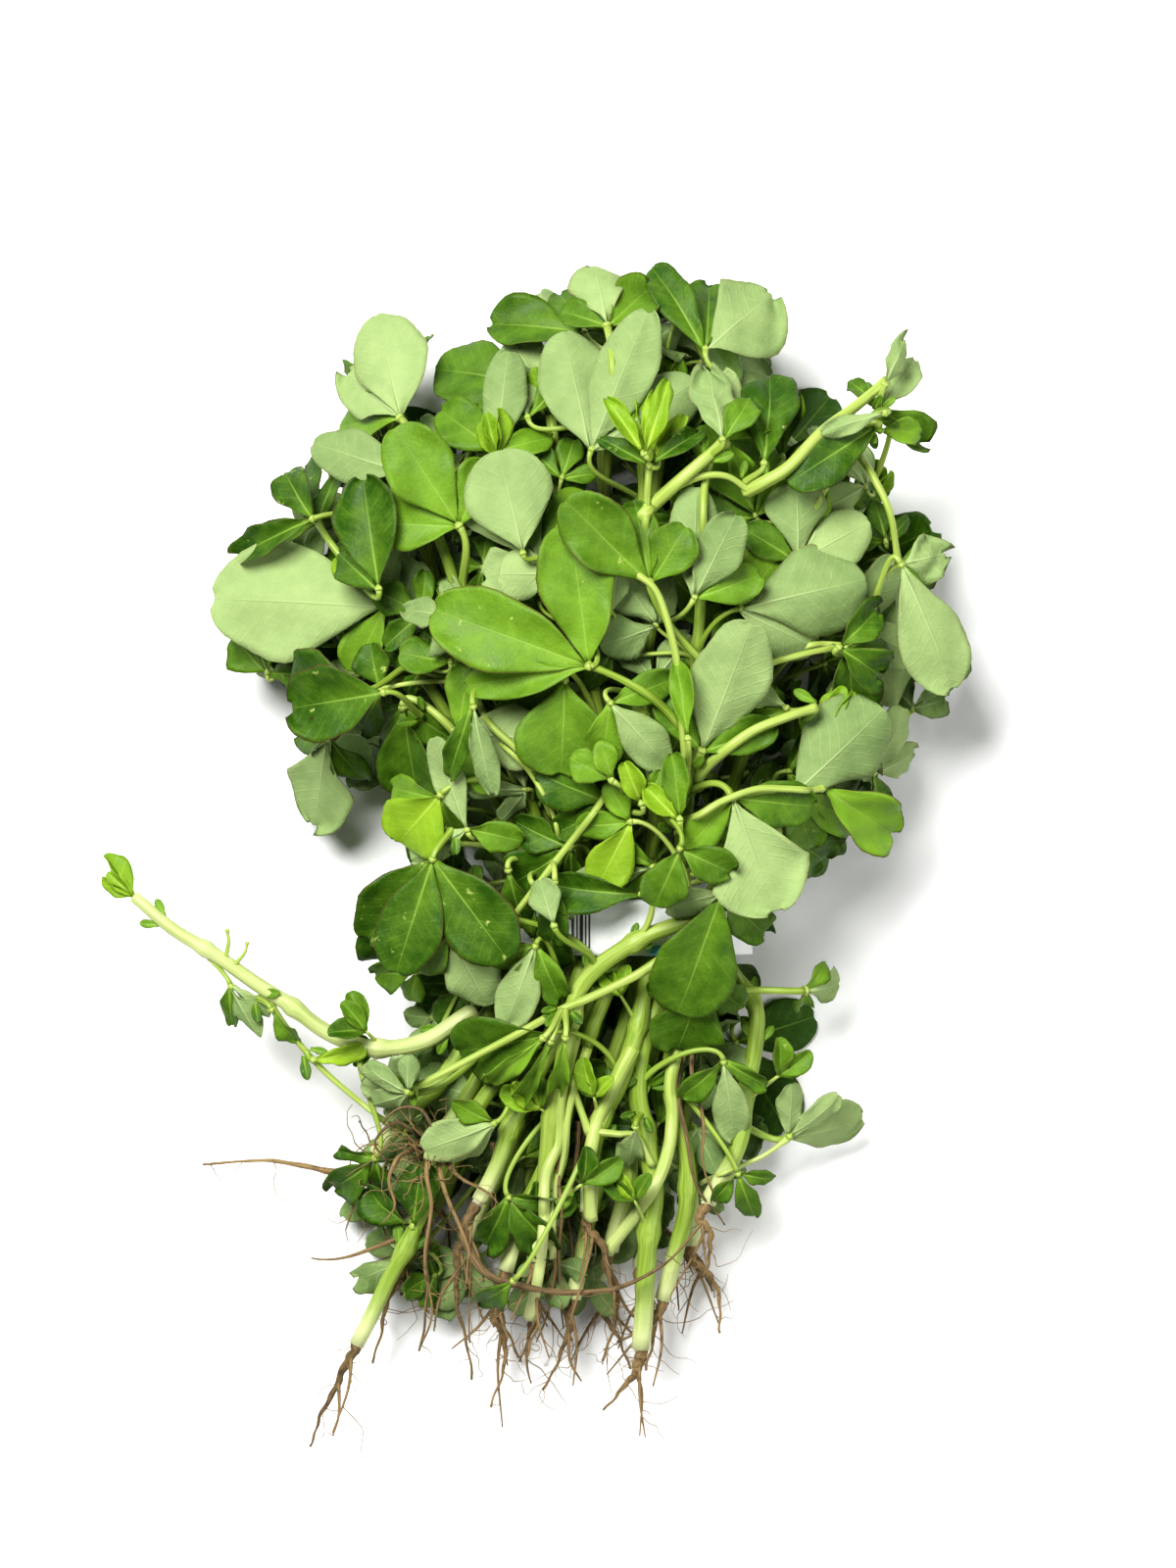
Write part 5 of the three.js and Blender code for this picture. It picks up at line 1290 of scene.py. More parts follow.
def crosses(shape):
    """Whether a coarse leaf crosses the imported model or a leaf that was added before."""
    tree, low, high, _ = shape
    for other, other_low, other_high in placed_trees:
        if (low < other_high).all() and (other_low < high).all() and tree.overlap(other):
            return True
    return False


print("a trial leaf has", len(coarse_shape(trial)[3]), "coarse points")

# %% [markdown]
# Leaves and stalks that the picture shows stay in view: what is added later may neither cross nor hide
# them. A flat strip stands for a stalk, as one that is looked at from above.

# %% What has to stay in view
STRIP_HALF = np.array([1.5, 0.8, 0.0])


def ribbon(path):
    """A flat strip along a stalk, wide enough to keep it in view."""
    points = [tuple(place + side * STRIP_HALF) for place in path for side in (-1, 1)]
    return BVHTree.FromPolygons(points, list(quads(len(path) - 1, 1)))


shown_trees = []


def keep_in_view(path):
    """Notes a stalk, so that later leaves neither cover nor cross it, apart from those at its end."""
    path = path[:-3]
    strip = ribbon(path)
    low, high = path.min(axis=0) - 1.5, path.max(axis=0) + 1.5
    shown_trees.append((strip, low[:2], high[:2]))
    placed_trees.append((strip, low, high))


for found_leaf in LEAF_PLACES:
    if found_leaf.get("shown"):
        tree, low, high, _ = coarse_shape(found_leaf["leaf"])
        shown_trees.append((tree, low[:2], high[:2]))
for path in stalks_in_view:
    keep_in_view(path)


def hides(corners, most):
    """Whether a leaf's points would cover leaves that show, by more than a share of them."""
    low, high = corners.min(axis=0)[:2], corners.max(axis=0)[:2]
    near = [tree for tree, a, b in shown_trees if (low < b).all() and (a < high).all()]
    covered = 0
    for point in corners:
        covered += any(tree.ray_cast(tuple(point), (0, 0, -1))[0] is not None for tree in near)
    return covered > most * len(corners)


print("kept in view:", len(shown_trees), "leaves and stalks")

# %% [markdown]
# A new leaf needs a stem to grow from: one that is near, lies rather behind the leaf and isn't above it.

# %% The nearest stem
BEST_REACH, SHORTEST_REACH = 15, 6


def nearest_stem(junction, reach_most):
    """The plant, place and heading of the stem point that a stalk to a junction would best leave from."""
    best = None
    for name, path in PATHS.items():
        gaps = np.linalg.norm(path[:-1] - junction, axis=1)
        cost = np.abs(gaps - BEST_REACH) + 0.6 * np.maximum(0, path[:-1, 1] - junction[1] + 4)
        cost = cost + 0.5 * np.maximum(0, path[:-1, 2] - junction[2] + 2)
        cost[(gaps < SHORTEST_REACH) | (gaps > reach_most)] = 1e6
        i = int(cost.argmin())
        if best is None or cost[i] < best[0]:
            best = (cost[i], name, path[i], unit(path[i] - path[i + 1]))
    return best if best[0] < 1e5 else None


print("the head's middle is nearest to", nearest_stem(np.array([4.0, 42.0, 40.0]), 42.0)[1])

# %% [markdown]
# The source gave some leaves fewer leaflets than the photograph shows, because its blades are thick and
# need room. The thin blades here have more, so each missing one is tried again at a few pitches.

# %% Give leaves back their missing leaflets
added = 0
for index, found_leaf in enumerate(LEAF_PLACES):
    for k, row in enumerate(found_leaf["missing"]):
        for pitch in (0, -12, 12, -26, -40):
            turned = [row[0], row[1], row[2], row[3] + pitch, row[4]]
            rows = [found_leaf["rows"][0], turned]
            pair = leaf_of(found_leaf["leaf"]["junction"], found_leaf["normal"], rows,
                           found_leaf["tilt"], draws(SEEDS["given_back"] + index), 1)
            extra = {"leaflets": [pair["leaflets"][1]]}
            look = LOOKS.get((round(pair["junction"][0]), round(pair["junction"][1])))
            if look:
                dress(extra, *look)
            shape = coarse_shape(extra)
            if crosses(shape) or shape[3][:, 2].min() < 0.8:
                continue
            placed_trees.append(shape[:3])
            random = draws(SEEDS["given_back_look"] + 7 * index + k)
            add_leaflet(pieces[found_leaf["plant"]], pair["leaflets"][1], random)
            added += 1
            break
print("leaflets given back:", added)

# %% [markdown]
# ## What else the picture shows
# Some stalks and shoots cross over the leaves. They are too fine or too close together for the source. A
# branch has its plant, its radius at both ends and its points.

# %% Branches that cross over the leaves
BRANCH_SIDES = 10
BRANCHES = [
    ["a4", 2.0, 1.5, [[14, 68, 60], [15.6, 71.5, 66], [22, 77.5, 71], [30, 84.5, 72], [36, 89.7, 69]]],
    ["a4", 1.0, 0.9, [[15, 70, 62], [20, 75.5, 68], [28.6, 80, 70], [36, 80.5, 69], [42, 77, 66]]],
    ["a4", 1.9, 1.3, [[41, 76.5, 65], [46, 79, 67.5], [52.5, 83, 68], [61, 92, 66], [70, 99, 62],
                      [78.5, 106, 58]]],
    ["c5", 1.1, 0.8, [[72, 86, 52], [75.5, 80, 56], [79.5, 71, 57], [81.9, 58, 50]]],
    ["a4", 1.1, 0.9, [[25, -6, 46], [26, 0, 58], [24.6, 16, 66], [23.4, 31, 70], [18.5, 49, 72],
                      [12, 55.5, 72]]],
    ["a5", 1.5, 1.2, [[29, -1, 52], [30.5, 4, 60], [41.6, 13, 65], [52, 17.6, 64], [59.8, 20, 60]]],
    ["a5", 1.1, 0.8, [[24.4, -9.8, 60], [29, -8.2, 61.5], [35, -4.6, 63], [44, -1.4, 63.5], [52, -1.3, 61.5],
                      [58, -1.6, 58.5], [61.8, -1.1, 55.6]]],
    ["a6", 0.9, 0.8, [[43, 29, 52], [48, 31.6, 59], [56, 34, 60], [65, 35.9, 54]]],
    ["a2", 0.95, 0.85, [[9, 4, 46], [1.3, -7.8, 54], [-9, -21, 53], [-17, -31.5, 50], [-22, -38, 44]]],
    ["over_band", 1.3, 0.9, [[20, -46, 47], [12, -51, 48], [0, -56.8, 46], [-7, -59.8, 45],
                             [-26, -70.2, 43], [-40, -77.5, 40], [-48, -81.5, 37]]],
    ["side_sprig", 0.9, 0.7, [[-86, -55.5, 31.5], [-81, -64, 31], [-72, -75, 29], [-62, -84, 27],
                              [-53, -91, 25]]],
    ["side_sprig", 0.7, 0.35, [[-96.5, -46.5, 33], [-95.6, -42, 35], [-96, -38.6, 36]]],
    ["side_sprig", 0.6, 0.3, [[-94, -48, 33.5], [-91.4, -45, 35], [-90.6, -42, 35.5]]],
    ["a6", 0.7, 0.6, [[30, -107, 20], [36, -104, 21], [46, -100, 22], [53.5, -95, 22]]],
    ["a3", 0.7, 0.6, [[-27, 14, 46], [-17, 5, 52], [-10, -6, 50], [-7, -17, 45]]],
    ["a1", 1.0, 0.9, [[-31, 26, 46], [-26, 16, 50], [-17, 7, 50], [-9, -9, 46]]],
    ["a3", 1.6, 1.5, [[-3, -66, 38], [-7.3, -83, 38], [-7.8, -95, 36], [-11.2, -104, 34],
                      [-11.7, -117, 31], [-13, -130, 28], [-15.6, -143, 22]]],
    ["b3", 1.3, 1.2, [[0, -70, 38], [-5.2, -86, 38], [-6.5, -99, 35], [-9.1, -109, 33], [-9.9, -126, 27]]],
    ["a4", 2.0, 1.6, [[12, -70, 38], [7.8, -78, 38], [2, -91, 36], [0.4, -104, 34], [0.8, -116, 31]]],
    ["a4", 1.1, 0.9, [[-7, -72, 38], [-3.5, -82, 38], [0.3, -93, 36.5]]],
    ["a4", 1.0, 0.8, [[1.3, -92.3, 36], [7.8, -93, 37], [13, -93.8, 36], [17, -101.5, 33]]],
    ["a6", 1.9, 1.6, [[28, -53, 16], [25.5, -62, 18], [23.5, -71, 21.5], [22, -80, 27], [22.5, -88, 31],
                      [21.5, -97, 32.5], [18.7, -105.3, 32], [13, -114.4, 30], [5, -125, 24]]],
]


def branch_path(points):
    """A branch's smooth path, raised over what it crosses."""
    return over_the_leaves(smooth(points, 8 * (len(points) - 1)), 1.6)


for plant, thick, thin, points in BRANCHES:
    path = branch_path(points)
    radii = np.linspace(thick, thin, len(path))
    radii += 0.35 * np.exp(-((np.arange(len(path)) - len(path) + 1) / 2.0) ** 2)
    pale = np.clip((-30 - path[:, 1]) / 130, -0.2, 1.0)
    tone = tone_rows(0.55, 0.0, np.repeat(pale, BRANCH_SIDES))
    pieces[plant].add(*tube(path, radii, BRANCH_SIDES, 0.06), STEM_SLOT, tone)
    keep_in_view(path)
print("branches grown:", len(BRANCHES))

# %% [markdown]
# Other leaves lie on top of the others or are wilted. A row has the leaf's junction, followed by the point
# that its stalk starts from unless that is the nearest stem, its look as shade, wear and crumpling, and
# its leaflets as above. A low shade is partly the leaf's own dark green and partly painted shade.

# %% Leaves that lie on top
FAR = 60.0  # how far from its stem a leaf may lie when it is listed one by one or deep in the bunch
NUDGES = (0, 1.5, 3, -1.5, 4.5, 6, -3, 8, -5, 10)  # how far up or down a leaf may move to find room
MORE_LEAVES = [
    [[-17, 60.5, 69], (0.55, 0.2, 0.0), [104, 27, 0.85, 2, -1]],
    [[-9, 55, 66], (0.95, 0.1, 0.0), [180, 14, 1.05, 0, -1]],
    [[-55, 51.5, 50], (0.1, 0.6, 0.1), [100, 29, 0.58, 0, 1], [142, 20, 0.5, -22, 1]],
    [[-49, 82, 46, -36, 74, 50], (0.3, 0.4, 0.1), [158, 28, 0.52, -4, -1]],
    [[-73, 70, 44, -62, 72, 38], (0.05, 1.0, 0.4), [196, 26, 0.34, -6, 1], [128, 17, 0.7, 4, 1]],
    [[0, 30.5, 71], (0.6, 0.4, 0.25), [189, 34, 0.3, -8, 1]],
    [[35, 90, 74, 31, 85, 71], (0.4, 0.5, 1.0), [100, 19, 0.66, 12, -1], [58, 14, 0.6, 10, 1]],
    [[14.5, 86, 73], (0.4, 0.6, 0.9), [124, 17, 0.3, 22, 2], [72, 20, 0.3, 26, 2]],
    [[16, 83, 72], (0.1, 0.8, 0.9), [150, 15, 0.34, 14, 1], [34, 16, 0.34, 12, 1]],
    [[46, 84, 66, 41, 79, 67], (0.05, 0.7, 0.8), [82, 27, 0.55, -2, 1]],
    [[51, 86, 60, 48, 80, 62], (0.1, 0.6, 0.6), [95, 22, 0.6, -6, 1]],
    [[76, 94, 62, 73, 95, 60], (0.05, 0.8, 0.3), [213, 28, 0.5, 6, 1]],
    [[77.5, 97, 64, 75, 97, 60], (0.5, 0.6, 0.5), [198, 17, 0.32, 8, -1]],
    [[78, 105, 60, 76, 99, 58], (0.4, 0.6, 0.8), [62, 15, 0.42, 6, -1]],
    [[79, 103, 57, 76, 99, 58], (0.05, 0.8, 0.6), [-62, 11, 0.45, -10, 1], [206, 14, 0.4, 0, 1]],
    [[77, 93, 58, 75, 95, 58], (0.9, 0.5, 0.7), [2, 12, 0.6, 4, 1]],
    [[82.5, 57.5, 56], (0.75, 0.3, 0.15), [-64, 36, 0.52, 2, -1]],
    [[83, 58, 51], (0.6, 0.4, 0.9), [14, 13, 0.95, 10, -1]],
    [[66, 36, 55], (0.12, 0.7, 0.6), [40, 15, 0.7, 0, 1], [-30, 15, 0.8, -4, 1]],
    [[6, 1, 61], (0.7, 0.5, 0.6), [150, 12, 0.7, 16, 1], [108, 11, 0.6, 24, 1]],
    [[14, -5, 62], (0.6, 0.5, 0.7), [112, 12, 0.55, 30, 2], [62, 10, 0.5, 30, 1]],
    [[24, -9, 61, 23.5, -13, 51], (0.5, 0.4, 0.6), [97, 17, 0.42, 20, 1], [134, 12, 0.5, 16, 2]],
    [[26, 12, 67, 26, 4, 62], (0.7, 0.2, 0.6), [98, 20, 0.3, 6, 1]],
    [[52, -13, 46], (0.1, 0.7, 0.3), [-38, 17, 0.8, -8, 1], [-76, 17, 0.7, -12, 1]],
    [[62, -1, 55], (0.9, 1.0, 0.35), [-34, 28, 0.55, -6, 1]],
    [[70, 12, 50], (0.6, 0.6, 0.5), [-48, 16, 0.7, -22, -1]],
    [[46, -33, 42], (0.2, 0.8, 0.5), [-72, 12, 0.36, -20, 1], [-112, 11, 0.36, -16, -1]],
    [[-12, -67, 52, -7, -60, 47], (0.95, 0.4, 0.9), [228, 27, 0.22, -2, 1]],
    [[-10, -68, 52, -7, -60, 47], (0.6, 0.4, 0.8), [247, 27, 0.2, -4, 1]],
    [[-6, -67, 52, -6, -60, 47], (0.9, 0.4, 0.8), [262, 22, 0.24, -6, 1]],
    [[-14, -27, 50], (0.6, 0.5, 0.3), [-55, 14, 0.62, -4, -1]],
    [[-11, -36, 47], (0.05, 0.7, 0.3), [-82, 17, 0.62, -6, 1]],
    [[-21, -23, 46], (0.05, 0.7, 0.2), [-82, 20, 0.5, -8, 1]],
    [[14, -29, 53], (0.05, 0.4, 0.2), [178, 25, 0.42, -2, 1]],
    [[-54, -32, 40, -46, -30, 38], (0.02, 0.6, 0.2), [262, 22, 0.75, -10, 1]],
    [[-8.8, -26, 51], (0.08, 0.5, 0.2), [267, 18, 0.48, -4, 1]],
    [[12.5, -91, 41, 14, -88, 37], (0.5, 0.4, 0.5), [265, 19, 0.36, -6, -1]],
    [[-38, -92, 24], (0.03, 0.5, 0.5), [225, 20, 0.6, -6, 1], [280, 18, 0.6, -6, 1]],
    [[-47, -118, 28], (0.03, 0.5, 0.5), [150, 16, 0.6, -4, 1], [80, 18, 0.6, -4, 1]],
    [[-2, -79, 42], (0.6, 0.5, 0.15), [160, 13, 0.75, -4, 1]],
    [[-10, -31, 45], (0.3, 0.5, 0.2), [-82, 21, 0.62, -8, 1]],
    [[-9, -37, 52], (0.4, 0.4, 0.3), [108, 12, 0.7, -4, -1]],
    [[-48, -81.5, 41, -47, -81, 38], (0.3, 0.8, 0.5), [150, 13, 0.6, 10, -1], [215, 13, 0.6, -6, -1],
     [85, 10, 0.6, 10, -1]],
    [[-73, -73.5, 31, -75, -71.5, 30], (0.8, 0.3, 0.7), [18, 14, 0.42, 4, 2]],
    [[-84, -60, 33, -88, -57, 32], (0.5, 0.4, 0.4), [-70, 12, 0.5, -10, 1]],
    [[-60, 66, 46], (0.15, 0.5, 0.3), [60, 20, 0.5, -6, 1], [100, 20, 0.5, -10, 1]],
    [[-60, 25, 46], (0.03, 0.9, 0.3), [176, 24, 0.75, -14, 1]],
    [[-54, 24, 50, -44, 18, 44], (0.1, 1.0, 0.1), [190, 27, 0.78, -8, 1]],
    [[-41, -20, 52, -36, -12, 48], (0.12, 1.0, 0.0), [251, 32, 0.54, 10, 1], [306, 33, 0.6, 8, 1]],
    [[-42, -20, 47, -36, -12, 46], (0.1, 1.0, 0.1), [232, 29, 0.6, 4, 1]],
    [[-39, -3, 50], (0.6, 0.4, 0.15), [228, 19, 1.0, -8, 2]],
    [[-6, 27, 67], (0.5, 0.4, 0.0), [-93, 25, 0.98, -6, 1]],
    [[-30, 20, 56], (0.2, 0.4, 0.3), [-80, 24, 0.3, -4, -1], [-110, 22, 0.3, -8, 1]],
    [[52, 20, 60, 60, 20, 60], (0.5, 0.4, 0.5), [150, 14, 0.5, 6, -1], [200, 14, 0.5, 0, 1]],
]

not_placed = []
for index, (place, look, *rows) in enumerate(MORE_LEAVES):
    junction, foot = place[:3], place[3:]
    rows = [[*row, look[2]] for row in rows]
    for lift in NUDGES:
        spot = np.array([junction[0], junction[1], junction[2] + lift])
        leaf = leaf_of(spot, dome_normal(spot, HEAD_SHARE), rows, 0, draws(SEEDS["on_top"] + index), 1)
        shape = coarse_shape(leaf)
        if not crosses(shape):
            break
    else:
        not_placed.append(junction)
        continue
    _, plant, start, heading = nearest_stem(spot, FAR)
    if foot:
        start, heading = np.array(foot, float), unit(spot - np.array(foot) + UP)
    for leaflet in leaf["leaflets"]:
        leaflet["shade"], leaflet["wear"] = look[:2]
    add_leaf(pieces[plant], leaf, start, heading, draws(SEEDS["on_top_look"] + index), 1.1)
    placed_trees.append(shape[:3])
    shown_trees.append((shape[0], shape[1][:2], shape[2][:2]))
print("leaves on top:", len(MORE_LEAVES) - len(not_placed), "and without room:", not_placed)

# %% [markdown]
# A leaf that fills a gap has its numbers drawn from a stream, and points roughly away from the band.

# %% The height of the bunch, and a leaf that fills a gap
def head_height(x, y):
    """The height of the leafy head's surface above a place."""
    inner = 1 - ((x - HEAD["x"]) / HEAD["a"]) ** 2 - ((y - HEAD["y"]) / HEAD["b"]) ** 2
    return HEAD["z"] + HEAD["c"] * math.sqrt(max(inner, 0.0))


def foot_height(x, y):
    """The height of the stems and their leaves below the band."""
    return 24 + 14 * max(0.0, 1 - abs(x) / 60) - 0.12 * max(0.0, -60 - y)


def filling_leaf(junction, lengths, share, painted_light, random, own):
    """A leaf that hangs outwards from a place in the bunch, with a size, a turn and a wear of its own."""
    lean = np.array([next(random) - 0.5, next(random) - 0.5, 0.0])
    normal = unit(dome_normal(junction, share) + lean * 0.9)
    outward = math.degrees(math.atan2(junction[1] + 40, junction[0] - HEAD["x"]))
    azimuth = outward + 150 * (next(random) - 0.5)
    length = lengths[0] + (lengths[1] - lengths[0]) * next(random)
    width = 0.5 + 0.24 * next(random)
    # Painted shade: where the region's leaves are painted darker, fewer blades show their pale undersides
    face = -1 if next(random) < 0.42 * painted_light else 1
    crumple = max(0.0, next(random) - 0.4) * 1.3
    rows = []
    for turn in (0, 58 + 24 * next(random), -58 - 24 * next(random)):
        size = length * (1 if turn == 0 else 0.7 + 0.28 * next(random))
        own_width = width * (0.85 + 0.3 * next(random))
        pitch = 6 - 20 * next(random)
        rows.append([azimuth + turn, size, own_width, pitch, face, crumple * 2 * next(random)])
    tilt = 24 * (next(random) - 0.4)
    return leaf_of(junction, normal, rows, tilt, own, 1)


print("the head is", round(head_height(HEAD["x"], HEAD["y"])), "mm high")

# %% [markdown]
# One function fills a region. It takes the outline, the layers as shares of the height of the bunch
# there, how many leaves to place and how often to try, the leaflets' length, and how much light its
# leaves are painted for. Lower layers and darker regions get darker blades and fewer pale undersides. This
# is mostly painted shade, with a little of the darker green of older leaves.

# %% Fill a region with leaves
LOWEST_BLADE = 1.0
MOST_HIDDEN = 0.1  # the share of a leaf that may lie over leaves in view


def fill(edge, height, layers, seed, count, tries, lengths, share, painted_light, reach_most=42.0):
    """Grows leaves inside an outline, the highest layers first, and says how many found a place."""
    random = draws(seed)
    xs, ys = [x for x, _ in edge], [y for _, y in edge]
    grown = 0
    for attempt in range(tries):
        if grown == count:
            break
        layer = layers[min(int(attempt / tries * len(layers)), len(layers) - 1)]
        x = min(xs) + (max(xs) - min(xs)) * next(random)
        y = min(ys) + (max(ys) - min(ys)) * next(random)
        if not inside(x, y, edge):
            continue
        z = max(3.0, height(x, y) * (layer + 0.12 * (next(random) - 0.5)))
        junction = np.array([x, y, z])
        stem = nearest_stem(junction, reach_most)
        if stem is None:
            continue
        leaf = filling_leaf(junction, lengths, share, painted_light, random, draws(seed + attempt))
        tree, low, high, corners = shape = coarse_shape(leaf)
        if low[2] < LOWEST_BLADE or not all(inside(px, py, edge) for px, py, _ in corners[2::3]):
            continue
        if crosses(shape) or hides(corners, MOST_HIDDEN):
            continue
        placed_trees.append((tree, low, high))
        for leaflet in leaf["leaflets"]:
            # Painted shade: lower layers, and regions with less painted_light, get darker blades; older
            # leaves' own darker green is a small part of it
            leaflet["shade"] = (0.03 + 0.6 * layer ** 1.5) * (0.2 + next(random)) * painted_light
        _, plant, start, heading = stem
        add_leaf(pieces[plant], leaf, start, heading, draws(seed * 3 + attempt), 0.8)
        grown += 1
    return grown


upper_layers = (1.0, 0.9, 0.8, 0.7, 0.6, 0.5, 0.4, 0.3, 0.18)
lower_layers = (0.72, 0.58, 0.45, 0.32, 0.2, 0.1)
print("head:", fill(
    HEAD_EDGE, head_height, upper_layers, seed=5000,
    count=150, tries=4200, lengths=(20, 32), share=0.5, painted_light=1.0,
))
print("small ones in the head:", fill(
    HEAD_EDGE, head_height, upper_layers[2:], seed=9100,
    count=60, tries=2500, lengths=(11, 18), share=0.4, painted_light=0.9,
))
print("below the band:", fill(
    FOOT_EDGE, foot_height, lower_layers, seed=12500,
    count=60, tries=2600, lengths=(11, 20), share=0.1, painted_light=0.3,
))
print("lower left:", fill(
    LEFT_FOOT_EDGE, foot_height, lower_layers, seed=15500,
    count=24, tries=1100, lengths=(13, 20), share=0.1, painted_light=0.2,
))

# %% [markdown]
# Through the gaps that are left the table would show white. Leaves just above it close them. Their very
# dark blades are painted shade for the deep gaps of the bunch, more than the darker green of old leaves.

# %% Deep leaves in painted shade
LOW_HEIGHT = 13.0


def low_height(x, y):
    """The height of the layers just above the table, the same everywhere."""
    return LOW_HEIGHT


# Painted shade: painted_light of 0.12 makes these deep leaves nearly black
deep_layers = (1.0, 0.8, 0.6, 0.4)
print("deep in the head:", fill(
    HEAD_EDGE, low_height, deep_layers, seed=18000,
    count=40, tries=1800, lengths=(20, 30), share=0.1, painted_light=0.12, reach_most=FAR,
))
print("deep below the band:", fill(
    FOOT_EDGE, low_height, deep_layers, seed=21000,
    count=26, tries=1300, lengths=(14, 24), share=0.1, painted_light=0.12, reach_most=FAR,
))

# %% [markdown]
# ## Roots
# A taproot carries side roots and many hair roots, which wander off it between the grains of the soil.
# The hairs end near the lowest root's tip, so that the bunch isn't longer than it was packed.

# %% Hairs and side roots
LOWEST_HAIR = cad_low[1] / MM - SHIFT[1] - 1.0
FINE_HAIR = {"steps": 6, "radii": (0.17, 0.06), "sides": 3, "shade": 0.55}


def wander(start, way, reach, steps, random):
    """A crooked path of a few steps that keeps above the table and behind the lowest root's end."""
    path = [start]
    for _ in range(steps):
        nudge = np.array([next(random) - 0.5, next(random) - 0.5, next(random) - 0.55])
        way = unit(way + nudge * 1.5)
        spot = path[-1] + way * reach / steps
        spot[2] = max(spot[2], 0.5)
        spot[1] = max(spot[1], LOWEST_HAIR)
        path.append(spot)
    return np.array(path)


def add_hair(piece, kind, start, way, reach, random):
    """Adds a hair root, which wanders off and thins towards its end."""
    path = smooth(wander(start, way, reach, kind["steps"], random), 2 * kind["steps"] + 2)
    radii = np.linspace(*kind["radii"], len(path))
    shade = kind["shade"] + (1 - kind["shade"]) * next(random)
    piece.add(*tube(path, radii, kind["sides"]), BARK_SLOT, (shade, 0.0, 0.0))


def side_roots(path, seed):
    """The source's two side roots, by the same sums."""
    random = draws(seed)
    made = []
    for k in range(2):
        at = path[1 + (k % (len(path) - 2))]
        side = unit(np.array([next(random) - 0.5, -0.35 - 0.5 * next(random), 0.7 * (next(random) - 0.5)]))
        bent = np.array([next(random) - 0.5, next(random) - 0.8, next(random) - 0.6]) * 7
        mid = at + side * (6 + 5 * next(random))
        end = mid + side * (5 + 6 * next(random)) + bent
        mid[2], end[2] = max(mid[2], 1.0), max(end[2], 0.8)
        made.append(smooth([at, mid, end], 10))
    return made


print("no hair goes lower than", round(LOWEST_HAIR, 1), "mm in the plan")

# %% [markdown]
# The taproot tapers from the stem's foot, wrinkled and slightly crooked. Its two side roots are where the
# source has them.

# %% Taproots
ROOT_GAP = 0.35
ROOT_SIDES = 10
HAIRS = 8
PEELED = {"b1": 0.25}  # how soon the bark takes over from the white root, beside the others


def add_root(name, index):
    """A plant's taproot with its side roots and hairs."""
    route, foot, ends = ROUTES[name]
    stem = PATHS[name]
    away = unit(stem[-1] - stem[-2])
    start = stem[-1] + away * ROOT_GAP
    guide = [start, start + away * 4, *ends]
    coarse = smooth(guide, 2 + len(ends))
    path = smooth([stem[-1] - away * 1.5, *guide[1:]], (2 + len(ends)) * 9)
    random = draws(SEEDS["root"] + index)
    share = np.linspace(0, 1, len(path))
    crooked = 0.4 * np.sin(share * 17 + 6 * next(random)) + 0.25 * np.sin(share * 41 + 6 * next(random))
    path = path + np.outer(crooked * np.minimum(1, share * 6), [0.9, 0.2, 0.35])
    path[:, 2] = np.maximum(path[:, 2], 1.2)
    radii = np.maximum(0.35, 0.9 * foot * np.power(1 - share * 0.97, 0.85))
    radii *= 1 + 0.1 * np.sin(share * 60 + 5 * next(random))
    piece = Piece("taproot_" + name)
    peel = PEELED.get(name, 1.0) * (4 + 5 * next(random))
    bare = np.repeat(np.clip(1.15 - share * peel, 0, 1), ROOT_SIDES)
    piece.add(*tube(path, radii, ROOT_SIDES, 0.05), BARK_SLOT, tone_rows(0.2 + 0.5 * next(random), bare, 0.0))
    starts = list(path[4:])
    seed = SEEDS["over_band_roots"] if name == "over_band" else SEEDS["side_roots"] + index
    for branch in side_roots(coarse, seed):
        piece.add(*tube(branch, np.linspace(0.6, 0.2, len(branch)), 6), BARK_SLOT, (0.5, 0.0, 0.0))
        starts += list(branch[2:])
    for _ in range(HAIRS):
        start = starts[int(next(random) * len(starts))]
        way = unit(np.array([next(random) - 0.5, -0.5 * next(random), 0.8 * (next(random) - 0.5)]))
        add_hair(piece, FINE_HAIR, start, way, 7 + 20 * next(random) ** 2, random)
    return piece


print("hairs on each taproot:", HAIRS)

# %% [markdown]
# Some plants have long thin roots that lie over the others, and a beard of hairs round the crown. A long
# root starts inside its plant, so that nothing hangs in the air.

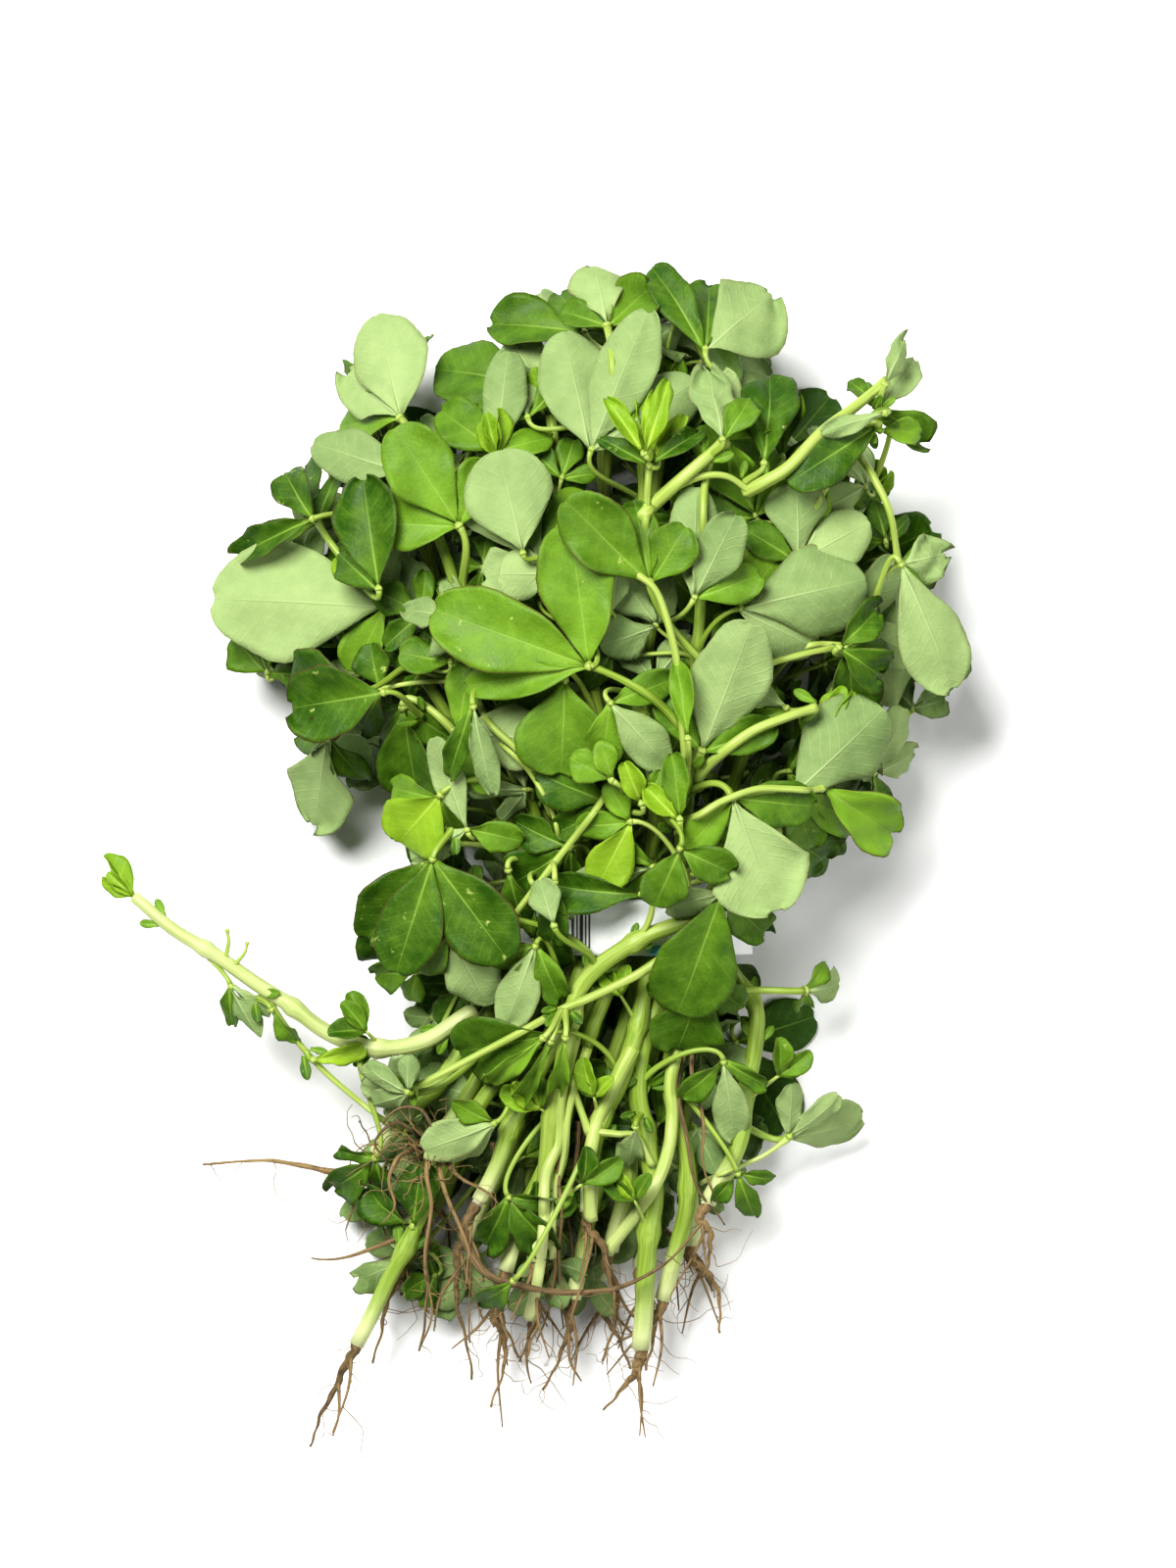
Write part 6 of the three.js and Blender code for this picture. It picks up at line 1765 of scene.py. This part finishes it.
# %% Long roots, crown hairs and the finished roots
LONG_ROOTS = {
    "b2": [[[-43, -97, 24], [-42.5, -101, 38], [-42, -110, 40], [-43, -124, 36], [-42, -140, 28],
            [-45, -152, 17]],
           [[-42, -98, 24], [-39, -104, 36], [-34, -118, 37], [-31, -132, 31], [-32, -150, 17]],
           [[-44, -97, 24], [-50, -99, 38], [-53, -104, 40], [-51, -111, 38], [-55, -117, 33]],
           [[-44, -97, 24], [-46, -92, 38], [-52, -90, 41], [-56, -95, 39], [-54, -101, 36]],
           [[-43, -98, 24], [-41, -93, 39], [-43, -87, 42], [-50, -86, 41], [-54, -90, 38]],
           [[-41, -98, 24], [-36, -103, 36], [-29, -107, 38], [-24, -112, 35]]],
    "b3": [[[-9.9, -124.5, 27.5], [-9, -133, 24], [-11, -144, 17]],
           [[-6, -84, 33], [-9, -100, 30], [-12, -118, 26], [-10, -136, 20], [-14, -150, 14]],
           [[-3, -90, 32], [-4, -108, 29], [-9, -126, 24], [-6, -146, 15]],
           [[-5.5, -82, 34], [-7.8, -96, 35.5], [-7, -110, 34], [-8, -124, 29], [-5, -140, 19]]],
    "c3": [[[2, -80, 29], [-2, -98, 28], [-6, -114, 24], [-2, -132, 18]]],
    "b5": [[[29, -62, 28], [28, -74, 32], [30, -88, 32], [31, -100, 30], [34, -112, 27]],
           [[27, -66, 28], [24.5, -80, 32], [26, -96, 31], [30, -108, 28], [36, -118, 25]]],
    "a3": [[[-15, -139, 22.5], [-16.5, -150, 19], [-15, -161, 13]]],
    "c2": [[[-26, -96, 24], [-25, -112, 22], [-22, -130, 16], [-25, -146, 11]]],
    "a1": [[[-48.5, -120.5, 25], [-55.5, -123.5, 22], [-62, -126, 20], [-68, -127.5, 19], [-74, -127, 18]]],
}
CROWN_HAIRS = {"b2": (40, 13), "b1": (10, 0)}  # how many, and how high above the crown they may start
CROWN_HAIR = {"steps": 7, "radii": (0.24, 0.08), "sides": 4, "shade": 0.6}


def add_long_root(piece, points, random):
    """Adds a thin root along its points, wavering a little."""
    path = smooth(points, 10 * (len(points) - 1))
    waver = 0.7 * np.sin(np.arange(len(path)) / 3.1 + 6 * next(random))
    path = path + np.outer(waver, [0.8, 0.3, 0.3])
    tone = (0.1 + 0.6 * next(random), 0.35 * next(random), 0.0)
    piece.add(*tube(path, np.linspace(0.75, 0.22, len(path)), 8, 0.06), BARK_SLOT, tone)


rooted = [name for name, (_, _, ends) in ROUTES.items() if ends]
root_triangles = 0
for index, name in enumerate(rooted):
    piece = add_root(name, index)
    random = draws(SEEDS["long_roots"] + index)
    for points in LONG_ROOTS.get(name, []):
        add_long_root(piece, points, random)
    crown = np.array(ROUTES[name][0][-1], float)
    hair_count, rise = CROWN_HAIRS.get(name, (0, 0))
    for _ in range(hair_count):
        start = crown + [3 * next(random) - 1.5, 12 * next(random) - 8, 2 + rise * next(random)]
        way = unit(np.array([next(random) - 0.75, 1.2 * (next(random) - 0.4), 0.6 * next(random)]))
        add_hair(piece, CROWN_HAIR, start, way, 10 + 18 * next(random), random)
    piece.make("roots", "root_" + name)
    root_triangles += piece.triangles()
print("roots grown:", len(rooted), "with", root_triangles, "triangles")

# %% [markdown]
# ## The paper band
# A strip 15 mm tall goes round the stems. It is flat where the bunch presses it on the table, and the
# stems that it holds push shallow ripples into it. It is built as two close sheets joined at the edges.

# %% The band
BAND = {"z": 21.0, "half_width": 31.5, "half_height": 21.5, "tall": 15.0, "sides": 180, "rows": 12}
PAST_PRINT = 60.0  # added to the stored place of the lower half, which has no print


def band_sheet(grow):
    """Points of one face of the band, and where they lie on it."""
    turn = 2 * math.pi * np.arange(BAND["sides"]) / BAND["sides"] + math.pi / 2
    y = np.linspace(-0.5, 0.5, BAND["rows"] + 1)
    ripple = 0.22 * np.sin(9 * turn)[:, None] + 0.12 * np.sin(17 * turn + 1)[:, None]
    ripple = ripple + 0.15 * np.sin(5 * turn)[:, None] * np.sin(5 * y)[None, :] - 0.2
    out = grow + ripple
    x = (BAND["half_width"] + out) * np.cos(turn)[:, None]
    z = np.maximum(BAND["z"] + (BAND["half_height"] + out) * np.sin(turn)[:, None], 0.2 + grow * 0.1)
    up = BAND["tall"] * y[None, :]
    below = np.where(np.sin(turn)[:, None] < 0, PAST_PRINT, 0.0)
    return tone_rows(BAND_MIDDLE[0] + x, BAND_MIDDLE[1] + up, z), tone_rows(x + below, up, 0.0)


band = Piece("paper_band")
outer, stored = band_sheet(0.62)
inner, _ = band_sheet(0.3)
across, around = BAND["rows"] + 1, BAND["sides"]
n = len(outer)
faces = []
for k in range(around):
    m = (k + 1) % around
    for j in range(BAND["rows"]):
        a, b, c, d = k * across + j, k * across + j + 1, m * across + j + 1, m * across + j
        faces += [(a, b, c, d), (n + a, n + d, n + c, n + b)]
    for j in (0, BAND["rows"]):
        a, d = k * across + j, m * across + j
        faces.append((a, d, d + n, a + n) if j == 0 else (a, a + n, d + n, d))
band.add(np.vstack([outer, inner]), faces, np.vstack([stored, stored]), PAPER_SLOT, (0.0, 0.0, 0.0))
band.make("paper_band", "label_band")
print("band faces:", len(faces))

# %% [markdown]
# ## Put the plants in the scene
# Each plant's stem and leaves are one piece that stands for its node.

# %% Make the plants
total = 0
for name, piece in pieces.items():
    piece.make("stems_and_leaves", "stem_" + name)
    total += piece.triangles()
print("triangles in the greens:", total)

# %% [markdown]
# ## The table
# A plain pale table, wide enough for the views from the side.

# %% Table
CLOUDS = 333.0
TABLE_HALF = 3.0  # metres
TABLE_TOP = -0.0003  # metres, just under the bunch
TABLE, add = new_material("pale_table")
own = add("TexCoord").outputs["Object"]
cloud = add("TexNoise", {"Vector": own, "Scale": per_metre(CLOUDS), "Detail": 2.0})
pale = add("Mix", {0: cloud, 6: linear("#f4f4f3"), 7: linear("#fafaf9")}, **COLOURS).outputs[2]
skin = add("BsdfPrincipled", {"Base Color": pale, "Roughness": 0.8})
add("OutputMaterial", {"Surface": skin})
table_mesh = bpy.data.meshes.new("table")
ends = [(x * TABLE_HALF, y * TABLE_HALF, TABLE_TOP) for x, y in ((-1, -1), (1, -1), (1, 1), (-1, 1))]
table_mesh.from_pydata(ends, [], [(0, 1, 2, 3)])
table_mesh.materials.append(TABLE)
table = bpy.data.objects.new("table", table_mesh)
bpy.context.scene.collection.objects.link(table)
print("the table is", 2 * TABLE_HALF, "m wide")
